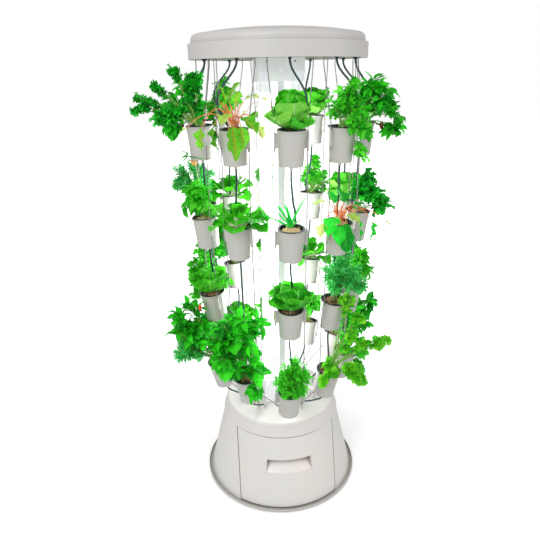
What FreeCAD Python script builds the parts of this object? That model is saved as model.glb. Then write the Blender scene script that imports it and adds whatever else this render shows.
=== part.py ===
import FreeCAD, Part
import math
import os

import Sketcher
from FreeCAD import Placement, Rotation, Vector

# Vertical planter tower: a conical base with a water drawer, a lit column on its deck, a round cap
# on top of the column, and ten pairs of steel wires that carry four rows of planting cups.
# Origin: centre of the footprint on the floor. +Z is up and the drawer faces -Y. Millimetres.

SIZES = {
    # base and deck
    "foot_height": 3, "foot_radius": 14, "foot_ring_radius": 262, "foot_count": 6,
    "tray_radius": 310, "tray_thickness": 3, "tray_lip_height": 6, "tray_lip_width": 3,
    "skirt_foot_radius": 295, "skirt_top_radius": 225.5, "skirt_height": 294, "skirt_wall": 4,
    "skirt_flange": 20, "screw_radius": 3.2, "screw_head": 2,
    "deck_height": 339, "deck_plate": 4, "deck_edge_radius": 213, "deck_shoulder_radius": 219.5,
    "deck_shoulder_drop": 6, "deck_band_height": 50, "deck_band_radius": 233, "deck_wall": 3.3,
    "deck_rib_radius": 208, "deck_rib": 4, "deck_edge_round": 5,
    # water drawer
    "door_half_width": 188, "door_gap": 2, "door_base_height": 12, "door_top_height": 284,
    "door_back": 115, "door_wall": 4,
    "handle_half_angle": 20.5, "handle_low": 143, "handle_high": 198, "handle_depth": 26,
    "handle_wall": 2.5, "handle_undercut": 9, "handle_flange": 7, "handle_corner": 9,
    "runner_width": 12, "runner_height": 24, "runner_inner": 170, "runner_front": 190,
    "drawer_rear": 150, "drawer_plate": 4, "drawer_side": 176, "slide_gap": 0.3,
    "tank_half_width": 150, "tank_front": 190, "tank_rear": 140, "tank_height": 154,
    "tank_wall": 3, "tank_corner": 25, "cover_thickness": 3, "cover_overhang": 3,
    "cover_lip": 8, "flap_half_width": 60, "flap_length": 78, "flap_front": 178,
    "flap_thickness": 3, "pin_radius": 2, "pin_gap": 0.1, "barrel_radius": 4.5, "lug_width": 6,
    "inlet_radius": 26, "inlet_place": 47,
    # pump and power
    "pump_place": 205, "pump_radius": 34, "pump_wall": 5, "pump_height": 56, "motor_radius": 30,
    "motor_height": 48, "impeller_radius": 26, "impeller_height": 20, "vane_count": 6,
    "shaft_radius": 3, "shaft_gap": 0.1, "valve_height": 40, "valve_radius": 10,
    "valve_flange": 16, "socket_radius": 16, "socket_reach": 18, "outlet_place": 48,
    "hose_radius": 7, "hose_bore": 5, "hose_turn_height": 245, "hose_turn_radius": 70,
    "supply_width": 90, "supply_depth": 55, "supply_height": 44, "supply_near": 60,
    "supply_place": 165, "inlet_angle": 158, "jack_radius": 8, "jack_height": 60,
    "funnel_radius": 187, "funnel_wall": 2.5, "funnel_collar": 32, "funnel_floor": 60,
    "funnel_drop": 41, "funnel_rise": 22, "spout_radius": 12.5, "spout_wall": 2, "spout_reach": 112,
    # lit column
    "mast_radius": 20, "mast_wall": 2, "mast_flange": 32, "mast_flange_height": 4,
    "lamp_offset": 47.5, "lamp_radius": 16, "lamp_wall": 1.5, "lamp_socket": 37,
    "socket_low_height": 100, "socket_high_height": 32, "rail_width": 24, "rail_depth": 8,
    "rail_place": 64, "board_width": 20, "board_thickness": 1.6,
    "head_half_width": 77, "head_height": 71, "head_wall": 3, "vent_count": 5, "vent_pitch": 5.5,
    "vent_height": 2, "vent_width": 24, "vent_inset": 4, "button_radius": 5.6,
    "button_height": 1588, "button_proud": 3.5, "button_travel": 2.5, "button_gap": 0.4,
    "head_screw_place": 45, "head_screw_drop": 11,
    # cap
    "plate_height": 1622, "plate_thickness": 5, "plate_radius": 287.5, "plate_bore": 15,
    "band_radius": 291, "band_low": 1619, "band_high": 1665, "band_wall": 3.2, "band_ledge": 7,
    "band_flange": 8, "dome_radius": 281, "dome_wall": 3, "dome_shoulder": 1677,
    "dome_shoulder_width": 20, "dome_shoulder_rise": 17, "dome_crown": 1711, "dome_ridge": 62,
    "dome_dimple": 5, "dome_flat": 16, "hub_radius": 45, "hub_height": 28, "spoke_radius": 5,
    "stub_place": 252, "stub_reach": 8, "bush_radius": 9, "bush_flange": 3,
    # wires, cups and tubes
    "column_count": 10, "wire_radius": 1.5, "wire_top_place": 268, "wire_top_angle": 14.3,
    "wire_bend_drop": 22, "nut_radius": 4.5, "nut_height": 6,
    "anchor_place": 142, "anchor_twist": 10, "anchor_radius": 8, "anchor_height": 14,
    "anchor_split": 3.2,
    "cup_radius": 43, "cup_bottom_radius": 37, "cup_height": 105, "cup_wall": 2.2,
    "cup_lip": 2.5, "cup_lip_height": 4, "spigot_radius": 5.2, "spigot_bore": 2.4,
    "spigot_length": 12, "ear_place": 49.5, "ear_radius": 4.3, "ear_length": 50, "ear_drop": 6,
    "ear_web": 4, "ear_gap": 0.5, "bead_radius": 3.6, "bead_height": 7,
    "net_clearance": 1, "net_depth": 68, "net_bottom_radius": 32, "net_wall": 1.6,
    "net_flange": 2, "net_slots": 10, "slot_width": 7, "bed_depth": 6, "pebble_radius": 7, "pebble_rise": 0.7,
    "tube_radius": 3.25, "tube_bore": 2.1, "elbow_place": 125, "elbow_rise": 14,
    "elbow_radius": 4.6, "elbow_arm": 20, "elbow_slope": 28, "plant_clearance": 1.2,
    "plant_growth": 1.15, "stem_radius": 4,
}

# Rows of cups from the top: distance from the axis, height of the rim and inward tilt of the cup
ROWS = [(280, 1422, 2.0), (280, 1122, 4.9), (270, 842, 8.5), (257, 556, 12.4)]
FRONT_DROP = 44          # the lowest cup of the front column hangs lower than the others

# The plants, as (sideways, outward, upward, radius) of the leafy masses of each kind
KINDS = {
    "lettuce": [(0, 6, 50, 46), (-40, 6, 52, 38), (40, 6, 54, 38), (0, 34, 44, 34), (4, -14, 64, 38)],
    "chard": [(0, 8, 44, 36), (-42, 22, 60, 32), (40, 12, 66, 30), (4, 16, 78, 28),
              (-10, 52, 50, 28), (44, 44, 36, 24)],
    "kale": [(0, 8, 44, 34), (-6, 30, 80, 36), (3, 10, 113, 32), (-8, 53, 98, 30), (5, 86, 30, 42),
             (-4, 82, 78, 30), (-2, 112, 98, 22), (2, 137, 83, 19), (0, 160, 66, 20)],
    "parsley": [(0, 8, 46, 38), (30, 8, 56, 34), (-32, 6, 54, 34), (6, 16, 78, 32), (14, 48, 38, 34),
                (10, 68, 6, 20)],
    "pepper": [(0, 8, 46, 36), (4, 34, 78, 34), (0, 64, 52, 34), (-6, 30, 98, 30), (4, 82, 14, 28),
               (6, 90, -24, 24)],
    "aloe": [(0, 2, 31, 27), (-24, 7, 46, 17), (24, 7, 44, 17), (4, 12, 62, 18), (-6, 6, 80, 13)],
    "choy": [(0, 4, 38, 33), (-32, 6, 46, 27), (32, 4, 44, 27), (0, 24, 42, 28)],
    "basil": [(0, 6, 46, 36), (-26, 6, 62, 30), (22, 8, 72, 28), (0, 20, 84, 26), (8, 36, 46, 26)],
    "vine": [(0, 10, 47, 37), (12, 30, 85, 31), (-6, 36, 55, 29), (6, 56, 36, 23), (3, 71, 12, 19),
             (-4, 21, 107, 27)],
    "rosemary": [(0, 8, 50, 36), (30, 6, 82, 34), (-24, 8, 94, 32), (8, 22, 122, 30),
                 (22, 44, 62, 30)],
    "thyme": [(0, 0, 46, 41), (-16, 12, 56, 34), (24, 8, 58, 36), (4, -4, 80, 36)],
    "chili": [(0, 12, 50, 38), (-34, 34, 84, 40), (26, 24, 104, 38), (-14, 72, 60, 40),
              (-30, 96, 100, 36), (8, 62, 140, 32), (-6, 104, 24, 32)],
    "bush": [(0, 8, 46, 36), (-33, 38, 94, 39), (27, 24, 103, 35), (-9, 57, 143, 41),
             (-54, 72, 157, 33), (31, 55, 169, 32), (-21, 69, 208, 37), (15, 44, 229, 27),
             (-23, 97, 106, 36), (11, 89, 61, 30), (38, 52, 52, 26)],
    "hedge": [(0, 8, 46, 36), (-10, 40, 88, 38), (0, 80, 120, 40), (10, 56, 150, 34),
              (-14, 106, 150, 34), (0, 128, 128, 28), (6, 86, 190, 30), (0, 114, 80, 34),
              (4, 138, 60, 24), (0, 84, 44, 32)],
    "trailing": [(0, 8, 42, 32), (10, 44, 60, 34), (14, 88, 30, 38), (10, 72, 100, 32),
                 (4, 88, 148, 28), (0, 92, 192, 26), (-4, 90, 236, 26), (20, 118, 128, 27),
                 (40, 142, 136, 22), (58, 164, 144, 18)],
}

# The kind of plant in each cup, column by column from the front anticlockwise, top row first. No cup
# hangs where there is none.
COLUMNS = [
    ("lettuce", "aloe", "lettuce", "thyme"),
    ("parsley", "chard", "rosemary", "trailing"),
    ("pepper", "vine", "basil", "parsley"),
    ("basil", "lettuce", "vine", "chili"),
    ("lettuce", "parsley", "choy", "basil"),
    ("chard", "basil", "lettuce", "parsley"),
    ("parsley", "choy", "chili", "lettuce"),
    ("pepper", "rosemary", "parsley", "vine"),
    ("kale", "basil", "lettuce", "hedge"),
    ("chard", "choy", "", "bush"),
]
ROW_NAMES = ("top", "upper", "lower", "bottom")

DOC = FreeCAD.newDocument("planter_tower")
SHEET = DOC.addObject("Spreadsheet::Sheet", "Sizes")
for line, (alias, number) in enumerate(SIZES.items(), start=1):
    SHEET.set(f"A{line}", alias)
    SHEET.set(f"B{line}", str(number))
    SHEET.setAlias(f"B{line}", alias)
DOC.recompute()

# Levels that several pieces share, as sums of the sizes
TRAY_TOP = "foot_height + tray_thickness"
SKIRT_TOP = TRAY_TOP + " + skirt_height"
DECK_UNDER = "deck_height - deck_plate"
PLATE_TOP = "plate_height + plate_thickness"
DRAWER_TOP = "door_base_height + drawer_plate"
TANK_TOP = DRAWER_TOP + " + tank_height"
COVER_TOP = TANK_TOP + " + cover_thickness"
HEAD_BASE = "plate_height - head_height"


def amount(terms):
    """Value of a sum of sizes, such as 'tray_radius - tray_lip_width' or 'rail_width / 2'."""
    total = 0.0
    sign = 1
    words = terms.split()
    for place, word in enumerate(words):
        if word in ("+", "-"):
            sign = 1 if word == "+" else -1
            continue
        if word == "/" or (place and words[place - 1] == "/"):
            continue
        size = float(word) if word[0].isdigit() else float(getattr(SHEET, word))
        if place + 1 < len(words) and words[place + 1] == "/":
            size /= float(words[place + 2])
        total += sign * size
    return total


def bound(terms):
    """The same sum as an expression on the sheet."""
    return " ".join("Sizes." + word if word[0].isalpha() else word for word in terms.split())


def outline(body, name, plane_role, corners):
    """A closed polygon sketch on one of the body's own planes, every corner tied to the sheet."""
    sketch = body.newObject("Sketcher::SketchObject", name)
    plane = [item for item in body.Origin.OriginFeatures if item.Role == plane_role][0]
    sketch.AttachmentSupport = [(plane, "")]
    sketch.MapMode = "FlatFace"
    spots = [Vector(amount(across), amount(up), 0) for across, up in corners]
    for place, spot in enumerate(spots):
        sketch.addGeometry(Part.LineSegment(spot, spots[(place + 1) % len(spots)]), False)
    for place in range(len(spots)):
        sketch.addConstraint(Sketcher.Constraint("Coincident", place, 2, (place + 1) % len(spots), 1))
    for place, terms in enumerate(corners):
        for kind, text, value in (("DistanceX", terms[0], spots[place].x),
                                  ("DistanceY", terms[1], spots[place].y)):
            if value == 0 and text == "0":
                axis = -2 if kind == "DistanceX" else -1
                sketch.addConstraint(Sketcher.Constraint("PointOnObject", place, 1, axis))
                continue
            row = sketch.addConstraint(Sketcher.Constraint(kind, -1, 1, place, 1, value))
            sketch.setExpression(f"Constraints[{row}]", bound(text))
    return sketch


def turned_body(name, corners):
    """A turned piece: its outline of (radius, height) corners runs once round the Z axis."""
    body = DOC.addObject("PartDesign::Body", name)
    sketch = outline(body, name + "_outline", "XZ_Plane", corners)
    turn = body.newObject("PartDesign::Revolution", name + "_turn")
    turn.Profile = sketch
    turn.ReferenceAxis = (sketch, ["V_Axis"])
    turn.Angle = 360
    DOC.recompute()
    return body


def padded_body(name, corners, base, height):
    """A flat piece: its outline of (x, y) corners is padded upward from the height base."""
    body = DOC.addObject("PartDesign::Body", name)
    sketch = outline(body, name + "_outline", "XY_Plane", corners)
    sketch.setExpression("AttachmentOffset.Base.z", bound(base))
    pad = body.newObject("PartDesign::Pad", name + "_pad")
    pad.Profile = sketch
    pad.setExpression("Length", bound(height))
    DOC.recompute()
    return body


def rectangle(half_width, front, rear):
    """Corners of a rectangle between the sums front and rear along Y, alike on both sides."""
    left = "0 - " + half_width
    return [(left, front), (half_width, front), (half_width, rear), (left, rear)]


def round_hole(body, name, place, radius, base, depth, count=1, angle="0", side=1):
    """Cut a round hole downward from the height base, repeated round the Z axis from an angle."""
    sketch = body.newObject("Sketcher::SketchObject", name + "_circle")
    plane = [item for item in body.Origin.OriginFeatures if item.Role == "XY_Plane"][0]
    sketch.AttachmentSupport = [(plane, "")]
    sketch.MapMode = "FlatFace"
    sketch.setExpression("AttachmentOffset.Base.z", bound(base))
    swing = math.radians(side * amount(angle))
    middle = Vector(amount(place) * math.sin(swing), -amount(place) * math.cos(swing), 0)
    sketch.addGeometry(Part.Circle(middle, Vector(0, 0, 1), amount(radius)), False)
    if angle == "0":
        sketch.addConstraint(Sketcher.Constraint("PointOnObject", 0, 3, -2))
    else:
        row = sketch.addConstraint(Sketcher.Constraint("DistanceX", -1, 1, 0, 3, middle.x))
        sketch.setExpression(f"Constraints[{row}]", f"{bound(place)} * sin({side} * {bound(angle)})")
    row = sketch.addConstraint(Sketcher.Constraint("DistanceY", 0, 3, -1, 1, -middle.y))
    sketch.setExpression(f"Constraints[{row}]", f"{bound(place)} * cos({bound(angle)})")
    row = sketch.addConstraint(Sketcher.Constraint("Radius", 0, amount(radius)))
    sketch.setExpression(f"Constraints[{row}]", bound(radius))
    cut = body.newObject("PartDesign::Pocket", name)
    cut.Profile = sketch
    cut.setExpression("Length", bound(depth))
    DOC.recompute()
    if count > 1:
        pattern = body.newObject("PartDesign::PolarPattern", name + "_ring")
        pattern.Originals = [cut]
        axis = [item for item in body.Origin.OriginFeatures if item.Role == "Z_Axis"][0]
        pattern.Axis = (axis, [""])
        pattern.Angle = 360
        pattern.Occurrences = count
        body.Tip = pattern
        DOC.recompute()


def round_off(body, name, radius, height, size):
    """Fillet the circular edge that has this radius and height."""
    base = body.Tip
    picks = []
    for place, edge in enumerate(base.Shape.Edges, start=1):
        round_edge = isinstance(edge.Curve, Part.Circle)
        if round_edge and abs(edge.Curve.Radius - amount(radius)) < 0.01 and \
                abs(edge.Curve.Center.z - amount(height)) < 0.01:
            picks.append(f"Edge{place}")
    fillet = body.newObject("PartDesign::Fillet", name)
    fillet.Base = (base, picks)
    fillet.setExpression("Radius", bound(size))
    DOC.recompute()


def feature(name, shape):
    """A sub-part whose shape is worked out here from the sizes on the sheet."""
    item = DOC.addObject("Part::Feature", name)
    item.Shape = shape
    item.Placement = Placement()
    return item


def block(x_low, x_high, y_low, y_high, z_low, z_high):
    """A box between two corners."""
    return Part.makeBox(x_high - x_low, y_high - y_low, z_high - z_low, Vector(x_low, y_low, z_low))


def rod(radius, start, end):
    """A round bar between two points."""
    return Part.makeCylinder(radius, (end - start).Length, start, end - start)


def turned(corners, start=0.0, sweep=360.0):
    """Solid of (radius, height) corners turned about the Z axis, centred on -Y if partial."""
    points = [Vector(radius, 0, height) for radius, height in corners]
    face = Part.Face(Part.makePolygon(points + points[:1]))
    solid = face.revolve(Vector(), Vector(0, 0, 1), sweep)
    solid.rotate(Vector(), Vector(0, 0, 1), start)
    return solid


def join(shapes):
    """One solid from overlapping or touching ones."""
    return shapes[0].multiFuse(shapes[1:]).removeSplitter() if len(shapes) > 1 else shapes[0]


def around(shape, count, start=0.0):
    """Copies of a shape, evenly spaced round the Z axis."""
    copies = []
    for place in range(count):
        copy = shape.copy()
        copy.rotate(Vector(), Vector(0, 0, 1), start + place * 360.0 / count)
        copies.append(copy)
    return copies


RADII = []


def rounded_wire(points, widest):
    """Straight runs joined by tangent arcs, each as large as its runs allow up to a radius."""
    edges = []
    start = points[0]
    for before, corner, after in zip(points, points[1:], points[2:]):
        to_corner = (corner - before).normalize()
        from_corner = (after - corner).normalize()
        half_turn = to_corner.getAngle(from_corner) / 2
        shorter = min((corner - before).Length, (after - corner).Length)
        radius = min(widest, 0.45 * shorter / math.tan(half_turn))
        reach = radius * math.tan(half_turn)
        first = corner - to_corner * reach
        last = corner + from_corner * reach
        inward = (from_corner - to_corner).normalize()
        middle = corner + inward * (radius / math.cos(half_turn) - radius)
        edges.append(Part.LineSegment(start, first).toShape())
        edges.append(Part.Arc(first, middle, last).toShape())
        RADII.append(radius)
        start = last
    edges.append(Part.LineSegment(start, points[-1]).toShape())
    return Part.Wire(edges)


def swept(points, radius, widest):
    """A round bar along a path of straight runs and arcs."""
    path = rounded_wire(points, widest)
    ring = Part.Circle(points[0], points[1] - points[0], radius).toShape()
    solid = path.makePipeShell([Part.Wire(ring)], True, False)
    ratio = solid.Volume / (math.pi * radius ** 2 * path.Length)
    if abs(ratio - 1) > 0.01:
        raise ValueError(f"a swept bar has {ratio:.3f} of its volume")
    return solid


def tube(points, radius, bore, widest):
    """A hollow hose along a path of straight runs and arcs."""
    return swept(points, radius, widest).cut(swept(points, bore, widest))


read = amount
deck = read("deck_height")
tray_top = read(TRAY_TOP)
columns = int(read("column_count"))


def skirt_radius(height):
    """Outer radius of the conical skirt at a height."""
    share = (height - tray_top) / read("skirt_height")
    return read("skirt_foot_radius") + share * (read("skirt_top_radius") - read("skirt_foot_radius"))


# Feet and floor tray
foot = Part.makeCylinder(read("foot_radius"), read("foot_height"), Vector(0, -read("foot_ring_radius"), 0))
centre_foot = Part.makeCylinder(read("foot_radius"), read("foot_height"))
feature("rubber_feet", Part.makeCompound(around(foot, int(read("foot_count")), 30) + [centre_foot]))
turned_body("floor_tray", [
    ("0", "foot_height"), ("tray_radius", "foot_height"),
    ("tray_radius", TRAY_TOP + " + tray_lip_height"),
    ("tray_radius - tray_lip_width", TRAY_TOP + " + tray_lip_height"),
    ("tray_radius - tray_lip_width", TRAY_TOP), ("0", TRAY_TOP)])

# Skirt: a conical wall with an inward flange, open at the front for the drawer
skirt_top = read(SKIRT_TOP)
flange_low = skirt_top - read("skirt_wall")
skirt = turned([
    (read("skirt_foot_radius"), tray_top), (read("skirt_top_radius"), skirt_top),
    (read("skirt_top_radius") - read("skirt_flange"), skirt_top),
    (read("skirt_top_radius") - read("skirt_flange"), flange_low),
    (skirt_radius(flange_low) - read("skirt_wall"), flange_low),
    (read("skirt_foot_radius") - read("skirt_wall"), tray_top)])
door_side = read("door_half_width") + read("door_gap")
door_top = read("door_top_height") + read("door_gap")
doorway = block(-door_side, door_side, -2 * read("tray_radius"), -read("door_back") / 2, 0, door_top)
jack_way = Vector(0, -1, 0)
jack_way = Rotation(Vector(0, 0, 1), read("inlet_angle")).multVec(jack_way)
jack_outer = skirt_radius(read("jack_height"))
jack_axis = Vector(0, 0, read("jack_height"))
jack_hole = rod(read("jack_radius") + read("slide_gap"), jack_axis + jack_way * (jack_outer - 20),
                jack_axis + jack_way * (jack_outer + 20))
skirt = skirt.cut([doorway, jack_hole])
slope = math.atan2(read("skirt_foot_radius") - read("skirt_top_radius"), read("skirt_height"))
screws = []
screw_holes = []
for angle, height in ((-100, 150), (-100, 262), (100, 212), (100, 90), (155, 150), (-155, 150)):
    turn_to = Rotation(Vector(0, 0, 1), angle)
    out = turn_to.multVec(Vector(0, -math.cos(slope), math.sin(slope)))
    spot = turn_to.multVec(Vector(0, -skirt_radius(height), height))
    shank = rod(read("screw_radius") / 2, spot - out * (read("skirt_wall") + 4), spot)
    dome = Part.makeSphere(read("screw_radius") * 1.25, spot - out * read("screw_radius") * 0.75)
    head = dome.common(rod(read("screw_radius") * 2, spot, spot + out * read("screw_head") * 2))
    screws.append(join([shank, head]))
    screw_holes.append(rod(read("screw_radius") / 2, spot - out * 12, spot + out * 4))
feature("skirt_shell", skirt.cut(screw_holes))
feature("skirt_screws", Part.makeCompound(screws))
inlet = join([
    rod(read("jack_radius"), jack_axis + jack_way * (jack_outer - 16),
        jack_axis + jack_way * (jack_outer + 5)),
    rod(read("jack_radius") + 4, jack_axis + jack_way * (jack_outer + 3.3),
        jack_axis + jack_way * (jack_outer + 5))])
inlet = inlet.cut(rod(read("jack_radius") * 0.5, jack_axis + jack_way * (jack_outer - 8),
                      jack_axis + jack_way * (jack_outer + 6)))
contact = rod(1.2, jack_axis + jack_way * (jack_outer - 9), jack_axis + jack_way * (jack_outer + 1))
feature("power_inlet", join([inlet, contact]))

# Deck lid: a plate with a sloping band that covers the top of the skirt
deck_lid = turned_body("deck_lid", [
    ("hose_radius + 2", "deck_height"), ("deck_edge_radius", "deck_height"),
    ("deck_shoulder_radius", "deck_height - deck_shoulder_drop"),
    ("deck_band_radius", "deck_height - deck_band_height"),
    ("deck_band_radius - deck_wall", "deck_height - deck_band_height"),
    ("deck_shoulder_radius - deck_wall", "deck_height - deck_shoulder_drop - 1"),
    ("deck_rib_radius + deck_rib", "deck_height - deck_shoulder_drop - 1"),
    ("deck_rib_radius + deck_rib", SKIRT_TOP), ("deck_rib_radius", SKIRT_TOP),
    ("deck_rib_radius", DECK_UNDER), ("hose_radius + 2", DECK_UNDER)])
round_off(deck_lid, "deck_top_round", "deck_edge_radius", "deck_height", "deck_edge_round")
round_off(deck_lid, "deck_side_round", "deck_shoulder_radius",
          "deck_height - deck_shoulder_drop", "deck_edge_round")
round_hole(deck_lid, "drain_hole", "elbow_place", "elbow_radius", "deck_height",
           "deck_plate", columns)

# Drawer front: a panel of the same cone with side walls, a floor and a roof
door_low = read("door_base_height")
door_high = read("door_top_height")
door_half = read("door_half_width")
wall = read("door_wall")
outer_cone = turned([(0, tray_top), (read("skirt_foot_radius"), tray_top),
                     (read("skirt_top_radius"), skirt_top), (0, skirt_top)])
inner_cone = turned([(0, tray_top), (read("skirt_foot_radius") - wall, tray_top),
                     (read("skirt_top_radius") - wall, skirt_top), (0, skirt_top)])
panel = outer_cone.common(block(-door_half, door_half, -400, -read("door_back"), door_low, door_high))
hollow = inner_cone.common(block(-door_half + wall, door_half - wall, -400, 0,
                                 door_low + wall, door_high - wall))
handle_low = read("handle_low")
handle_high = read("handle_high")
handle_sweep = 2 * read("handle_half_angle")
handle_start = -90 - read("handle_half_angle")


def face_radius(height, inset=0.0):
    """Radius of the drawer front at a height, moved inward by an inset."""
    return skirt_radius(height) - inset


window = turned([(face_radius(handle_low) - 30, handle_low), (face_radius(handle_low) + 10, handle_low),
                 (face_radius(handle_high) + 10, handle_high),
                 (face_radius(handle_high) - 30, handle_high)], handle_start, handle_sweep)


def end_edges(solid):
    """The four radial edges at the ends of a turned block."""
    picks = []
    for edge in solid.Edges:
        along = edge.tangentAt(edge.FirstParameter)
        if isinstance(edge.Curve, Part.Line) and abs(along.z) < 0.3 and edge.Length > 20:
            picks.append(edge)
    return picks


window = window.makeFillet(read("handle_corner"), end_edges(window))
runner_ways = []
for side in (-1, 1):
    way_in = side * (read("runner_inner") - read("door_gap"))
    way_out = side * (door_half - wall)
    runner_ways.append(block(min(way_in, way_out), max(way_in, way_out), -read("runner_front") - 2,
                             -read("door_back") + 1, 0, tray_top + read("runner_height") + 2))
feature("drawer_front", panel.cut([hollow, window] + runner_ways))

# Handle: a scoop set into the window, deep under its top edge, with a flange behind the panel
gap = read("slide_gap")
shell = read("handle_wall")
depth = read("handle_depth")
rise = read("handle_undercut")
edge_angle = math.degrees(gap / face_radius(handle_low))
flange_angle = math.degrees(read("handle_flange") / face_radius(handle_low))
front = read("door_wall")
plug = turned([
    (face_radius(handle_low) - depth - shell, handle_low + gap),
    (face_radius(handle_low), handle_low + gap), (face_radius(handle_high), handle_high - gap),
    (face_radius(handle_high) - depth - shell, handle_high - gap)],
    handle_start + edge_angle, handle_sweep - 2 * edge_angle)
plug = plug.makeFillet(read("handle_corner"), end_edges(plug))
back = turned([
    (face_radius(handle_low) - depth - shell, handle_low - read("handle_flange")),
    (face_radius(handle_low - read("handle_flange")) - front - gap, handle_low - read("handle_flange")),
    (face_radius(handle_high + rise + shell) - front - gap, handle_high + rise + shell),
    (face_radius(handle_high) - depth - shell, handle_high + rise + shell)],
    handle_start - flange_angle, handle_sweep + 2 * flange_angle)
scoop = turned([
    (face_radius(handle_low) - 1.5, handle_low + shell), (face_radius(handle_low) + 12, handle_low + shell),
    (face_radius(handle_high) + 12, handle_high - 1.2),
    (face_radius(handle_high) - front - 1.5, handle_high - 1.2),
    (face_radius(handle_high) - front - 3, handle_high + rise),
    (face_radius(handle_high) - depth, handle_high + rise),
    (face_radius(handle_high) - depth, handle_high - 14)],
    handle_start + 3 * edge_angle + 0.4, handle_sweep - 6 * edge_angle - 0.8)
rear_relief = turned([
    (0, handle_low - 30), (face_radius(handle_low) - front - shell - 4, handle_low - 30),
    (face_radius(handle_low) - front - shell - 4, handle_low + 2),
    (face_radius(handle_high) - depth - shell, handle_high - 18),
    (face_radius(handle_high) - depth - shell, handle_high + 60), (0, handle_high + 60)])
feature("drawer_handle", join([plug, back]).cut([scoop, rear_relief]))

# Drawer plate in its two grooved runners
drawer_side = read("drawer_side")
padded_body("drawer_plate", rectangle("drawer_side", "0 - door_back", "drawer_rear"),
            "door_base_height", "drawer_plate")
runner = block(read("runner_inner"), read("runner_inner") + read("runner_width"),
               -read("runner_front"), read("drawer_rear"), tray_top, tray_top + read("runner_height"))
groove = block(0, drawer_side + 2 * gap, -400, 400, door_low - gap, door_low + read("drawer_plate") + gap)
left_runner = runner.cut(groove).mirror(Vector(), Vector(1, 0, 0))
feature("drawer_runners", Part.makeCompound([runner.cut(groove), left_runner]))

# Tank, its cover with a filling flap, and the valve at its rear
tank_half = read("tank_half_width")
tank_base = read(DRAWER_TOP)
tank_top = read(TANK_TOP)


def upright_edges(solid):
    """The vertical straight edges of a solid."""
    return [edge for edge in solid.Edges if isinstance(edge.Curve, Part.Line)
            and abs(edge.tangentAt(edge.FirstParameter).z) > 0.99]


def rounded_block(shape, radius):
    """A box with its upright edges rounded."""
    return shape.makeFillet(radius, upright_edges(shape))


tank_shape = rounded_block(block(-tank_half, tank_half, -read("tank_front"), read("tank_rear"),
                                 tank_base, tank_top), read("tank_corner"))
inside = rounded_block(block(-tank_half + read("tank_wall"), tank_half - read("tank_wall"),
                             -read("tank_front") + read("tank_wall"),
                             read("tank_rear") - read("tank_wall"),
                             tank_base + read("tank_wall"), tank_top + 1),
                       read("tank_corner") - read("tank_wall"))
valve_axis = Vector(0, 0, read("valve_height"))
valve_hole = rod(read("valve_radius") - 2, valve_axis + Vector(0, read("tank_rear") - 10, 0),
                 valve_axis + Vector(0, read("tank_rear") + 10, 0))
feature("reservoir_tank", tank_shape.cut([inside, valve_hole]))
over = read("cover_overhang")
cover_top = read(COVER_TOP)
cover = rounded_block(block(-tank_half - over, tank_half + over, -read("tank_front") - over,
                            read("tank_rear") + over, tank_top, cover_top),
                      read("tank_corner") + over)
lip_out = read("tank_wall") + gap
lip_in = lip_out + read("cover_thickness")
lip_outer = rounded_block(block(-tank_half + lip_out, tank_half - lip_out, -read("tank_front") + lip_out,
                                read("tank_rear") - lip_out, tank_top - read("cover_lip"), tank_top),
                          read("tank_corner") - lip_out)
lip_inner = rounded_block(block(-tank_half + lip_in, tank_half - lip_in, -read("tank_front") + lip_in,
                                read("tank_rear") - lip_in, 0, tank_top), read("tank_corner") - lip_in)
flap_half = read("flap_half_width")
flap_front = -read("flap_front")
flap_rear = flap_front + read("flap_length")
barrel = read("barrel_radius")
hinge = Vector(0, flap_rear + barrel, cover_top + barrel)
fill_hole = block(-flap_half + 8, flap_half - 8, flap_front + 8, flap_rear - 8, 0, cover_top + 1)
water_hole = rod(read("inlet_radius"), Vector(0, -read("inlet_place"), 0),
                 Vector(0, -read("inlet_place"), cover_top + 1))
pieces = [cover, lip_outer.cut(lip_inner)]
pin = read("pin_radius")
lug = read("lug_width")
for side in (-1, 1):
    inner_x = side * (flap_half + gap)
    outer_x = side * (flap_half + gap + lug)
    pieces.append(block(min(inner_x, outer_x), max(inner_x, outer_x), hinge.y - barrel,
                        hinge.y + barrel, tank_top, hinge.z))
    pieces.append(rod(barrel, Vector(inner_x, hinge.y, hinge.z), Vector(outer_x, hinge.y, hinge.z)))
pin_way = rod(pin, hinge - Vector(flap_half + 3 * lug, 0, 0), hinge + Vector(flap_half + 3 * lug, 0, 0))
cover = join(pieces).cut([fill_hole, water_hole, pin_way])
feature("tank_cover", cover)
feature("flap_pin", rod(pin, hinge - Vector(flap_half + gap + lug, 0, 0),
                        hinge + Vector(flap_half + gap + lug, 0, 0)))
flap_low = cover_top + gap
flap_high = flap_low + read("flap_thickness")
flap = join([
    block(-flap_half, flap_half, flap_front, hinge.y, flap_low, flap_high),
    rod(barrel - gap, hinge - Vector(flap_half, 0, 0), hinge + Vector(flap_half, 0, 0)),
    block(-14, 14, flap_front - 6, flap_front + 4, flap_low, flap_high)])
pin_bore = rod(pin + read("pin_gap"), hinge - Vector(flap_half + lug, 0, 0),
               hinge + Vector(flap_half + lug, 0, 0))
feature("fill_flap", flap.cut(pin_bore))
rear = read("tank_rear")
valve_end = rear + 18
valve = join([
    rod(read("valve_flange"), valve_axis + Vector(0, rear, 0), valve_axis + Vector(0, rear + 3, 0)),
    rod(read("valve_radius"), valve_axis + Vector(0, rear, 0), valve_axis + Vector(0, valve_end, 0)),
    rod(read("valve_radius") - 2, valve_axis + Vector(0, rear - 8, 0), valve_axis + Vector(0, rear, 0))])
valve = valve.cut(rod(read("valve_radius") - 5, valve_axis + Vector(0, rear - 9, 0),
                      valve_axis + Vector(0, valve_end + 1, 0)))
feature("tank_valve", valve)

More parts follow.
